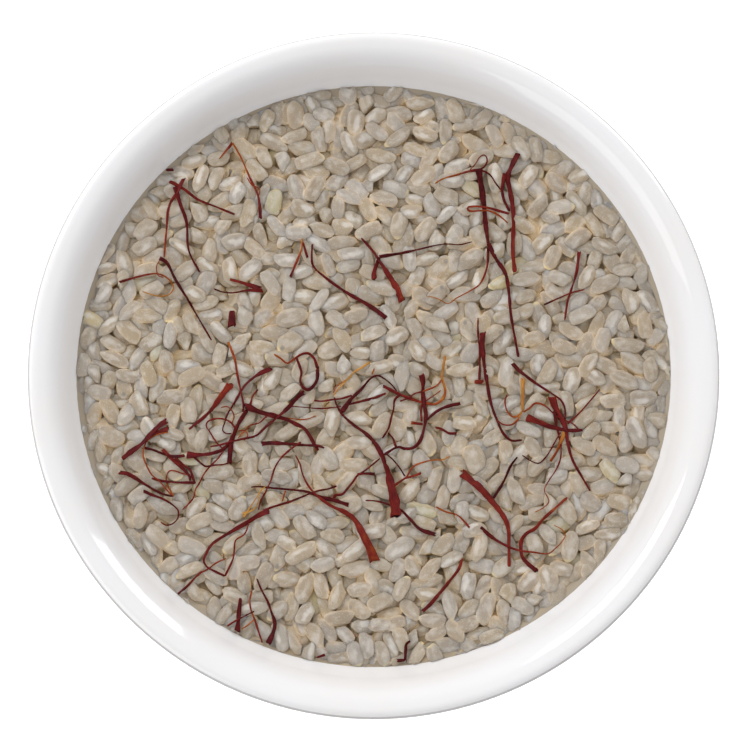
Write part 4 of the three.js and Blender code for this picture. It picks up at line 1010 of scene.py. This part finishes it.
def model_grain(blunt, taper, notch, belly, cut):
    """One grain of unit half sizes along X, Y and Z, shaped from a ball: blunt ends, of which
    the germ end (+X) tapers and may slope, one flatter side, and perhaps broken off."""
    deselect_all()
    bpy.ops.mesh.primitive_uv_sphere_add(
        segments=GRAIN_SEGMENTS, ring_count=GRAIN_RINGS, radius=1, rotation=(0, math.pi / 2, 0))
    bpy.ops.object.transform_apply(location=False, rotation=True, scale=False)
    piece = bpy.context.object
    bpy.ops.object.mode_set(mode="EDIT")
    for low, high, share in BLUNT_BANDS:
        select_where(piece, lambda co: low < -co.x < high)
        wide = 1 + blunt * share
        bpy.ops.transform.resize(value=(1, wide, wide))
        select_where(piece, lambda co: low < co.x < high)
        wide = 1 + (blunt - taper) * share
        bpy.ops.transform.resize(value=(1, wide, wide))
    select_where(piece, lambda co: co.x > GERM_CORNER[0] and co.y > GERM_CORNER[1])
    bpy.ops.transform.translate(value=(-notch, -0.5 * notch, 0))
    select_where(piece, lambda co: co.y < BELLY_EDGE)
    bpy.ops.transform.translate(value=(0, belly, 0))
    if cut is not None:
        bpy.ops.mesh.select_all(action="SELECT")
        bpy.ops.mesh.bisect(
            plane_co=(cut, 0, 0), plane_no=(1, 0.35, 0.2), use_fill=True, clear_outer=True)
    bpy.ops.object.mode_set(mode="OBJECT")
    vertices = np.array([v.co for v in piece.data.vertices])
    faces = [tuple(p.vertices) for p in piece.data.polygons]
    bpy.data.objects.remove(piece)
    return vertices, faces


def turn_matrix(heading, pitch, roll):
    return np.array(
        Matrix.Rotation(heading, 3, "Z") @ Matrix.Rotation(-pitch, 3, "Y")
        @ Matrix.Rotation(roll, 3, "X"))


def shadow_of(axes, offsets):
    """Where an ellipsoid lies over a window of the grid: its mean plane and half thickness."""
    flat = axes[:, :2, :2]
    inverse = np.linalg.inv(flat)
    slope = np.einsum("ki,kij->kj", axes[:, 2, :2], inverse)
    rest = axes[:, 2, 2] - np.einsum("ki,ki->k", slope, axes[:, 2, :2])
    spread_in = np.einsum("wi,kij,wj->kw", offsets, inverse, offsets)
    middle = np.einsum("ki,wi->kw", slope, offsets)
    half = np.sqrt(np.maximum(rest[:, None] * (1 - spread_in), 0.0))
    return middle, half, spread_in < 1


WINDOW = 13  # cells each way that a lying grain may cover
WALL_PRESS = 2.0  # how far grains may sink into the wall's glaze, which hides them there
OVERREACH = 1.1  # and their middles
WALL_CROWN = 0.8  # how far grains may stand up where they meet the wall
TUCK = 0.5  # how far under the glaze such grains end, inside the wall
DRAW_IN = 0.2  # share of their overhang that is left
PICKS = 400  # places looked at for each grain
TRIES = 5  # of which this many of the hollowest are tried
PATIENCE = 60  # grains in a row that find no room before a pass ends
SIZE_SPREAD = 0.07  # how unlike grains are in each of their sizes
SIZE_RANGE = (0.9, 1.08)  # and as a whole
ROLL = 0.5  # furthest roll of a grain about its length, in radians
LYING = (0.0, 0.12, 0.3, 0.55)  # pitches at which a lying grain is tried
STANDING = (0.9, 1.35)  # and a standing one
STANDING_CROWN = 0.4  # how much higher a standing grain may reach
LIE_FLAT = 0.25  # how much a lying grain prefers to lie flat
TOO_HIGH = 9.0  # what standing out counts for in choosing a place
EVERYWHERE = 60.0
BY_WALL = 2.4
# Each pass over the heap: how far its grains press into what lies there, how far their tops
# may stand above the mean level, in millimetres, the share that stand upright and how wide a
# band along the wall gets them. The first packs a bed, the second lays the grains that show
# whole and the rest fill the gaps.
PASSES = (
    (1.1, -1.2, 0.1, EVERYWHERE),
    (1.0, -0.4, 0.15, EVERYWHERE),
    (1.0, 0.3, 0.1, BY_WALL),
    (0.8, 0.5, 0.15, EVERYWHERE),
    (1.0, 0.7, 0.1, BY_WALL),
    (0.8, 0.9, 0.1, EVERYWHERE),
)


def grain_window():
    """Rows, columns and offsets in millimetres of the cells round a grain."""
    steps = np.arange(-WINDOW, WINDOW + 1)
    columns, rows = np.meshgrid(steps, steps)
    offsets = np.stack([columns.ravel(), rows.ravel()], 1) * GRID_CELL
    return rows.ravel(), columns.ravel(), offsets


def hollow_places(level, top, band, rng):
    """The hollowest of some places drawn in a band along the wall, as rows and columns."""
    angle = rng.uniform(0, 2 * math.pi, PICKS)
    radius = np.sqrt(rng.uniform(0, 1, PICKS)) * GRID_HALF
    x, y = radius * np.cos(angle), radius * np.sin(angle)
    inset = edge_radius(angle) - radius
    inside = (inset > -OVERREACH) & (inset < band)
    lack = np.where(inside, look_up(level, x, y) - look_up(top, x, y), NOWHERE)
    best = np.argsort(-lack)[:TRIES]
    return tuple(((side[best] + GRID_HALF) / GRID_CELL).astype(int) for side in (y, x))


def draw_grain(standing, rng):
    """Half sizes of one grain, whether it stands, and its turns: some for each place tried."""
    s = settings("rice_settings")
    middling = np.array([s.length, s.width, s.thickness]) / MM / 2
    half = middling * rng.normal(1.0, SIZE_SPREAD, 3) * rng.uniform(*SIZE_RANGE)
    upright = rng.uniform() < standing
    turns = []
    for _ in range(TRIES):
        heading = rng.uniform(0, math.pi * 2)
        roll = rng.uniform(-ROLL, ROLL)
        turns += [turn_matrix(heading, p, roll) for p in (STANDING if upright else LYING)]
    return half, upright, np.array(turns)


def drop_grains(level, top, ceiling, sink, standing, band, rng):
    """Drops grains one by one where they come to lie lowest, in a band along the wall, until no
    more fit under the ceiling. Raises top, the height of what lies there, and returns the
    centre, rotation and half sizes of each."""
    rows, columns, offsets = grain_window()
    grains = []
    misses = 0
    while misses < PATIENCE:
        row, column = hollow_places(level, top, band, rng)
        half, upright, turns = draw_grain(standing, rng)
        pitches = len(turns) // TRIES
        axes = turns @ np.diag(half**2) @ turns.transpose(0, 2, 1)
        middle, thick, covers = shadow_of(axes, offsets)
        r = np.clip(row[:, None] + rows, 0, GRID_SIDE - 1)
        c = np.clip(column[:, None] + columns, 0, GRID_SIDE - 1)
        under = np.repeat(top[r, c], pitches, 0)
        lift = np.where(covers, under - middle + thick, NOWHERE).max(1) - sink
        excess = lift - np.repeat(level[row, column], pitches)
        roof = np.repeat(ceiling[r, c], pitches, 0) + (STANDING_CROWN if upright else 0)
        over = np.where(covers, lift[:, None] + middle + thick - roof, NOWHERE).max(1)
        steepness = (0 if upright else LIE_FLAT) * np.sqrt(axes[:, 2, 2])
        chosen = int(np.argmin(excess + steepness + TOO_HIGH * (over > 0)))
        if over[chosen] > 0:
            misses += 1
            continue
        misses = 0
        place = chosen // pitches
        centre = (np.array([column[place], row[place]]) + 0.5) * GRID_CELL - GRID_HALF
        grains.append((np.append(centre, lift[chosen]), turns[chosen], half))
        surface = lift[chosen] + middle[chosen] + thick[chosen]
        surface = np.where(covers[chosen], surface, NOWHERE)
        np.maximum.at(top, (r[place], c[place]), surface)
    return grains


GRAIN_KINDS = (  # name, share of the grains, chalk and painted highlight, germ, whether broken, whether husky
    ("rice_clear", 0.28, 0.0, 0.10, False, False),
    ("rice_cloudy", 0.27, 0.2, 0.15, False, False),
    ("rice_chalky", 0.22, 0.55, 0.10, False, False),
    ("rice_germ", 0.16, 0.15, 0.85, False, False),
    ("rice_broken", 0.055, 0.25, 0.05, True, False),
    ("rice_husky", 0.015, 0.25, 0.9, False, True),
)
GRAIN_MODELS = (  # bluntness, taper, notch, belly
    (0.42, 0.00, 0.00, 0.05),
    (0.48, 0.25, 0.10, 0.08),
    (0.38, 0.12, 0.16, 0.14),
    (0.52, 0.34, 0.05, 0.02),
    (0.34, 0.05, 0.08, 0.18),
    (0.46, 0.15, 0.12, 0.10),
)
BROKEN_AT = (0.05, 0.4)  # how far along a broken grain its break may be
WAX = 0.8  # how far light spreading inside a grain evens out the shading of its upper side
WAX_LEAN = 0.8  # how far that shading faces the way of the grain's own flat side
WAX_UP = 0.6  # and how far straight up
WAX_FADE = 0.3  # how softly it ends at the grain's sides
WOBBLE = 0.08  # how uneven a grain's sides are
FLANK = 0.9  # how far a side may turn from level before it counts as fully steep, for the painted glow
DEEP_TOP = 0.1  # how far under the heap's surface the grains start to take the painted warm light of the gaps
DEEP_RUN = 1.2  # and over what depth they do
HEAP = {}  # the height of the finished heap, for what lies on it


def plain_normals(vertices, turn, half):
    """Outward normals of an ellipsoid of these half sizes, turned."""
    normals = vertices / half @ turn.T
    return normals / np.linalg.norm(normals, axis=1)[:, None]


def waxy_normals(normals, turn):
    """Normals of a grain, drawn together on its upper side as light inside it evens them out."""
    short = turn[:, 2] * np.sign(turn[2, 2])
    up = np.array([0, 0, WAX_UP]) + WAX_LEAN * short * short[2]
    up /= np.linalg.norm(up)
    facing = np.clip((normals @ up + WAX_FADE) / (2 * WAX_FADE), 0, 1)[:, None] * WAX
    normals = normals * (1 - facing) + up * facing
    return normals / np.linalg.norm(normals, axis=1)[:, None]


def tuck_in(points):
    """Brings what stands out over the wall back into it, so that the wall's glaze cuts the
    grains off along the line of the rice."""
    radius = np.hypot(points[:, 0], points[:, 1])
    reach = edge_radius(np.arctan2(points[:, 1], points[:, 0]))
    drawn = np.minimum(radius, reach + DRAW_IN * (radius - reach))
    points[:, :2] *= (drawn / np.maximum(radius, 1.0))[:, None]
    low = np.interp(drawn, *wall_curve()) - TUCK
    points[:, 2] = np.where(radius > reach, np.minimum(points[:, 2], low), points[:, 2])


def join_grains(name, grains, models, level, rng):
    """One mesh of many grains, with each grain's own coordinates, its random draw and how deep
    each point lies under the surface of the heap."""
    points, faces, own, draw, normals, flank = [], [], [], [], [], []
    start = 0
    for centre, turn, half in grains:
        vertices, sides = models[rng.integers(len(models))]
        flip = np.array([rng.choice((-1.0, 1.0)), 1.0, 1.0])
        wobble = 1 + WOBBLE * np.sin(vertices[:, [1, 2, 0]] * 3 + rng.uniform(0, 6, 3))
        shaped = vertices * wobble * flip * half
        points.append(shaped @ turn.T + centre)
        faces += [tuple(start + i for i in (side if flip[0] > 0 else side[::-1])) for side in sides]
        own.append(vertices)
        draw.append(np.full(len(vertices), rng.uniform()))
        plain = plain_normals(vertices * flip, turn, half)
        normals.append(waxy_normals(plain, turn))
        # how steep each point is, for the painted glow on a grain's steep sides
        flank.append(np.clip((FLANK - plain[:, 2]) / FLANK, 0, 1))
        start += len(vertices)
    points = np.concatenate(points)
    # how deep each point lies under the heap, for the painted warm light deep in the gaps
    surface = look_up(level, points[:, 0], points[:, 1])
    deep = np.clip((surface - DEEP_TOP - points[:, 2]) / DEEP_RUN, 0, 1)
    tuck_in(points)
    piece = mesh_piece(name, points * MM, faces)
    piece.data.normals_split_custom_set_from_vertices(np.concatenate(normals).tolist())
    add_attribute(piece, "own", np.concatenate(own), "FLOAT_VECTOR")
    add_attribute(piece, "draw", np.concatenate(draw))
    add_attribute(piece, "flank", np.concatenate(flank))
    add_attribute(piece, "deep", deep)
    return piece


class BOWL_OT_build_grains(bpy.types.Operator):
    """Drops the loose grains into the bowl and makes one piece of each kind"""

    bl_idname = "rice_bowl.build_grains"
    bl_label = "Build loose grains"

    def execute(self, context):
        s = settings("rice_settings")
        rng = np.random.default_rng(s.seed)
        level = rice_level()
        top = np.maximum(level - s.depth / MM, wall_grid(WALL_PRESS))
        x, y = np.meshgrid(grid_axis(), grid_axis())
        angle = np.arctan2(y, x)
        beyond = np.hypot(x, y) > edge_radius(angle)
        at_wall = np.maximum(wall_grid(0), edge_height(angle) + WALL_CROWN)
        grains = []
        for sink, crown, standing, band in PASSES:
            ceiling = np.where(beyond, at_wall, level + crown)
            grains += drop_grains(level, top, ceiling, sink, standing, band, rng)
        HEAP["top"] = top
        kinds = rng.choice(len(GRAIN_KINDS), len(grains), p=[kind[1] for kind in GRAIN_KINDS])
        for index, (name, _, chalk_and_highlight, germ, broken, husky) in enumerate(GRAIN_KINDS):
            cuts = BROKEN_AT if broken else (None,)
            models = [model_grain(*shape, cut) for shape in GRAIN_MODELS for cut in cuts]
            mine = [grain for grain, kind in zip(grains, kinds) if kind == index]
            piece = join_grains(name, mine, models, level, rng)
            body = s.husk if husky else s.clear
            piece.data.materials.append(grain_material(f"{name}_grain", body, chalk_and_highlight, germ))
            finish_piece(piece, "rice", "rice_heap")
        return {"FINISHED"}


# ---- saffron ----
ROUTE_STEPS = 24  # fine steps between two points of a strand's plan
BLANKET_REACH = 4  # cells over which a strand bridges the gaps between grains
BLANKET_SHARE = 0.6  # how much of its height comes from that, the rest from what is near
SIDE_REACH = 0.35  # share of its width to each side in which a strand feels what lies there
PRESS_IN = 0.04  # how far a strand may press into a grain
SETTLE = 0.06  # and once it is evened out
SETTLE_ROUNDS = 4
STRAND_SIDES = 8  # points round a strand
WIDEN = 2.0  # power by which a strand widens towards its thick end
PALE = 1.3  # and by which its tone changes
TIP_SHARE = 0.7  # width of a strand's very tip
FLATNESS = 0.34  # thickness of a strand as a share of its width
FRAY_FROM = 0.93  # share of a strand's length after which its thick end frays
FRAY_RUN = 0.07  # share over which it comes in
FRAY_LENGTH = 0.6  # and how long the fray is, as a share of the width


def between(first, second, start, end, at):
    return (first * (end - at) + second * (at - start)) / (end - start)


def smooth_route(plan, spacing):
    """Evenly spaced points along a centripetal Catmull-Rom curve through the plan."""
    points = np.array(plan, float)
    padded = np.vstack([2 * points[0] - points[1], points, 2 * points[-1] - points[-2]])
    fine = []
    for p in range(len(points) - 1):
        corner = padded[p:p + 4]
        steps = np.sqrt(np.maximum(np.linalg.norm(np.diff(corner, axis=0), axis=1), 1e-3))
        t = np.concatenate([[0], np.cumsum(steps)])
        u = np.linspace(t[1], t[2], ROUTE_STEPS, endpoint=False)[:, None]
        a1, a2, a3 = (between(corner[i], corner[i + 1], t[i], t[i + 1], u) for i in range(3))
        b1, b2 = between(a1, a2, t[0], t[2], u), between(a2, a3, t[1], t[3], u)
        fine.append(between(b1, b2, t[1], t[2], u))
    fine = np.vstack(fine + [points[-1:]])
    length = np.concatenate([[0], np.cumsum(np.linalg.norm(np.diff(fine, axis=0), axis=1))])
    count = max(4, int(round(length[-1] / spacing)) + 1)
    even = np.linspace(0, length[-1], count)
    return np.stack([np.interp(even, length, fine[:, i]) for i in (0, 1)], 1), even


def drape(route, width, thickness, blanket, top):
    """Heights for a strand's middle line: over the blanket, and clear of what lies under it."""
    x, y = route[:, 0], route[:, 1]
    height = look_up(blanket, x, y) + thickness / 2
    steps = (-SIDE_REACH, 0, SIDE_REACH)
    sides = [(dx, dy) for dx in steps for dy in steps]
    below = np.max([look_up(top, x + dx * width, y + dy * width) for dx, dy in sides], 0)
    height = np.maximum(height, below + thickness / 2 - PRESS_IN)
    for _ in range(SETTLE_ROUNDS):
        even = np.convolve(np.pad(height, 2, "edge"), np.ones(5) / 5, "valid")
        height = np.maximum(even, below + thickness / 2 - SETTLE)
    return height


def wave(along, pace, rng):
    """A sine along a strand, with its pace drawn from a range and its start drawn too."""
    return np.sin(along * rng.uniform(*pace) + rng.uniform(0, 6))


def tube_faces(count, sides):
    """Faces of a closed tube of count rings."""
    faces = []
    for i in range(0, (count - 1) * sides, sides):
        for k in range(sides):
            n = (k + 1) % sides
            faces.append((i + k, i + n, i + sides + n, i + sides + k))
    faces.append(tuple(range(sides))[::-1])
    faces.append(tuple((count - 1) * sides + k for k in range(sides)))
    return faces


def strand_mesh(route, along, height, width, thickness, rng):
    """A twisted, troughed strip with a frayed thick end: vertices, faces and strip places."""
    count = len(route)
    middle = np.column_stack([route, height])
    run = np.gradient(middle, axis=0)
    run /= np.linalg.norm(run, axis=1)[:, None]
    side = np.column_stack([-run[:, 1], run[:, 0], np.zeros(count)])
    side /= np.linalg.norm(side, axis=1)[:, None]
    up = np.cross(run, side)
    swing = rng.uniform(0.25, 0.6)
    roll = swing * wave(along, (0.25, 0.6), rng)
    roll += 0.25 * wave(along, (0.9, 1.6), rng)
    pinch = 1 + 0.10 * wave(along, (1.1, 2.2), rng)
    pinch += 0.05 * wave(along, (3, 5), rng)
    trough = np.clip(width - 0.45, 0, 1.5) * rng.uniform(0.10, 0.22)
    fray = rng.uniform(-0.5, 0.5, STRAND_SIDES)
    share = np.linspace(0, 1, count)
    turn = 2 * math.pi * np.arange(STRAND_SIDES) / STRAND_SIDES
    vertices = np.empty((count, STRAND_SIDES, 3))
    for k, angle in enumerate(turn):
        across = width / 2 * pinch * math.cos(angle)
        lift = thickness / 2 * math.sin(angle) + trough * (2 * math.cos(angle) ** 2 - 1)
        lift = lift + 0.04 * math.sin(angle) * np.cos(6 * along + 2 * angle)
        a = across * np.cos(roll) - lift * np.sin(roll)
        b = across * np.sin(roll) + lift * np.cos(roll)
        frayed = np.clip((share - FRAY_FROM) / FRAY_RUN, 0, 1)
        slide = fray[k] * frayed * np.minimum(width, 1.0) * FRAY_LENGTH
        ring = middle + side * a[:, None] + up * b[:, None]
        vertices[:, k] = ring + run * slide[:, None]
    strip = np.empty((count, STRAND_SIDES, 3))
    strip[:, :, 0] = along[:, None] + rng.uniform(0, 500)
    strip[:, :, 1] = np.cos(turn)[None] * np.maximum(width, 0.3)[:, None] * 2
    strip[:, :, 2] = np.sin(turn)[None]
    return vertices.reshape(-1, 3), tube_faces(count, STRAND_SIDES), strip.reshape(-1, 3)


def raise_top(top, route, height, width, thickness):
    """Adds a laid strand to the height of what lies there."""
    for (x, y), z, w, t in zip(route, height, width, thickness):
        c0, c1 = (int((v + GRID_HALF) / GRID_CELL) for v in (x - w / 2, x + w / 2))
        r0, r1 = (int((v + GRID_HALF) / GRID_CELL) for v in (y - w / 2, y + w / 2))
        patch = top[r0:r1 + 1, c0:c1 + 1]
        np.maximum(patch, z + t / 2, out=patch)


class BOWL_OT_build_saffron(bpy.types.Operator):
    """Lays the saffron strands on the grains"""

    bl_idname = "rice_bowl.build_saffron"
    bl_label = "Build saffron"

    def execute(self, context):
        s = settings("saffron_settings")
        top = HEAP["top"].copy()
        points, faces, tones, strips = [], [], [], []
        start = 0
        for index, strands in enumerate(STRANDS.values()):
            broad = soften(spread(top, BLANKET_REACH), BLANKET_REACH)
            blanket = BLANKET_SHARE * broad + (1 - BLANKET_SHARE) * spread(top, 1)
            laid = []
            for number, (w0, w1, tone0, tone1, *plan) in enumerate(strands):
                rng = np.random.default_rng((index, number))
                route, along = smooth_route(plan, s.ring_spacing / MM)
                share = np.linspace(0, 1, len(route))
                width = w0 + (w1 - w0) * share**WIDEN
                width[0] *= TIP_SHARE
                thickness = np.clip(FLATNESS * width, s.thinnest / MM, s.thickest / MM)
                height = drape(route, width, thickness, blanket, top)
                vertices, sides, strip = strand_mesh(route, along, height, width, thickness, rng)
                points.append(vertices)
                faces += [tuple(start + i for i in side) for side in sides]
                start += len(vertices)
                tones.append(np.repeat(tone0 + (tone1 - tone0) * share**PALE, STRAND_SIDES))
                strips.append(strip)
                laid.append((route, height, width, thickness))
            for strand in laid:
                raise_top(top, *strand)
        piece = mesh_piece("saffron_threads", np.concatenate(points) * MM, faces)
        add_attribute(piece, "tone", np.concatenate(tones))
        add_attribute(piece, "strip", np.concatenate(strips), "FLOAT_VECTOR")
        piece.data.materials.append(saffron_material())
        nodes = sorted(name for name in frame["nodes"] if name.startswith("saffron_"))
        finish_piece(piece, "saffron", *nodes)
        return {"FINISHED"}


# ---- the stage ----
SENSOR = 36  # width of the camera's sensor in millimetres
RIM_HEIGHT = 49.0  # where the lens distance is measured to, in millimetres
AIM = (0.62, 0.6)  # the middle of the view, right of and behind the middle of the rim, in mm
FLOOR_SIZE = 6.0  # in metres, as are the places and sizes of the lights
LIGHTS_AIM = (0, 0, 0.045)
KEY = ((-0.395, 0.439, 0.507), (0.35, 0.35))  # place and size
WINDOW_LIGHT = ((0.778, 0.873, 0.42), (0.42, 0.75))
FILL = ((-0.82, -0.57, 0.78), (1.0, 0.8))


def aim_at(thing, target):
    """Turns a lamp or a camera towards a point."""
    direction = Vector(target) - thing.location
    thing.rotation_euler = direction.to_track_quat("-Z", "Y").to_euler()


def add_light(name, place, size, power):
    """A soft white rectangular light, aimed at the bowl."""
    bpy.ops.object.light_add(type="AREA", location=place)
    lamp = bpy.context.object
    lamp.name = name
    lamp.data.shape = "RECTANGLE"
    lamp.data.size, lamp.data.size_y = size
    lamp.data.energy = power
    aim_at(lamp, LIGHTS_AIM)


def floor_material():
    """A pale floor that shines a little, so that it stays white under the bowl's shadow."""
    n = Nodes("pale_floor")
    where = n.object_coordinates()
    cloud = n.noise(where, 3.0, detail=2.0)
    n.set(
        Base_Color=n.mix(cloud, (0.92, 0.92, 0.92), (0.95, 0.95, 0.95)),
        Roughness=0.9,
        Emission_Color=(1, 1, 1, 1),
        Emission_Strength=0.65,
    )
    return n.material


class BOWL_OT_build_stage(bpy.types.Operator):
    """Sets the floor, the soft lights and the camera"""

    bl_idname = "rice_bowl.build_stage"
    bl_label = "Build stage"

    def execute(self, context):
        s = settings("stage_settings")
        scene = context.scene
        deselect_all()
        bpy.ops.mesh.primitive_plane_add(size=FLOOR_SIZE, location=(0, 0, 0))
        floor = rename(context.object, "floor")
        floor.data.materials.append(floor_material())

        target = Vector((AIM[0] * MM, AIM[1] * MM, RIM_HEIGHT * MM))
        back = Vector((0, -math.cos(s.elevation), math.sin(s.elevation)))
        bpy.ops.object.camera_add(location=target + back * s.distance)
        camera = context.object
        camera.data.lens = s.lens
        camera.data.sensor_width = SENSOR
        camera.data.sensor_fit = "HORIZONTAL"
        camera.data.clip_start = 0.01
        aim_at(camera, target)
        scene.camera = camera

        add_light("key", *KEY, s.key_power)
        add_light("window", *WINDOW_LIGHT, s.window_power)
        add_light("fill", *FILL, s.fill_power)
        world = bpy.data.worlds.new("studio")
        scene.world = world
        world.use_nodes = True
        ambient = world.node_tree.nodes["Background"]
        ambient.inputs["Color"].default_value = (1, 1, 1, 1)
        ambient.inputs["Strength"].default_value = s.sky
        scene.view_settings.view_transform = "Standard"
        scene.view_settings.look = "None"
        return {"FINISHED"}


# ---- panel ----
BUILDERS = (BOWL_OT_build_bowl, BOWL_OT_build_core, BOWL_OT_build_grains, BOWL_OT_build_saffron,
            BOWL_OT_build_stage)
SETTINGS = {
    "bowl_settings": BowlSettings,
    "rice_settings": RiceSettings,
    "saffron_settings": SaffronSettings,
    "stage_settings": StageSettings,
}


class BOWL_PT_panel(bpy.types.Panel):
    bl_idname = "BOWL_PT_panel"
    bl_label = "Rice Bowl"
    bl_space_type = "VIEW_3D"
    bl_region_type = "UI"
    bl_category = "Rice Bowl"

    def draw(self, context):
        for name, group in SETTINGS.items():
            box = self.layout.box()
            for key in group.__annotations__:
                box.prop(getattr(context.scene, name), key)
        for builder in BUILDERS:
            self.layout.operator(builder.bl_idname)


def register():
    for group in SETTINGS.values():
        bpy.utils.register_class(group)
    for name, group in SETTINGS.items():
        setattr(bpy.types.Scene, name, bpy.props.PointerProperty(type=group))
    for cls in (*BUILDERS, BOWL_PT_panel):
        bpy.utils.register_class(cls)


def unregister():
    for cls in reversed((*BUILDERS, BOWL_PT_panel)):
        bpy.utils.unregister_class(cls)
    for name, group in SETTINGS.items():
        delattr(bpy.types.Scene, name)
        bpy.utils.unregister_class(group)


def main():
    register()
    bpy.ops.rice_bowl.build_bowl()
    bpy.ops.rice_bowl.build_core()
    bpy.ops.rice_bowl.build_grains()
    bpy.ops.rice_bowl.build_saffron()
    bpy.ops.rice_bowl.build_stage()


if __name__ == "__main__":
    main()
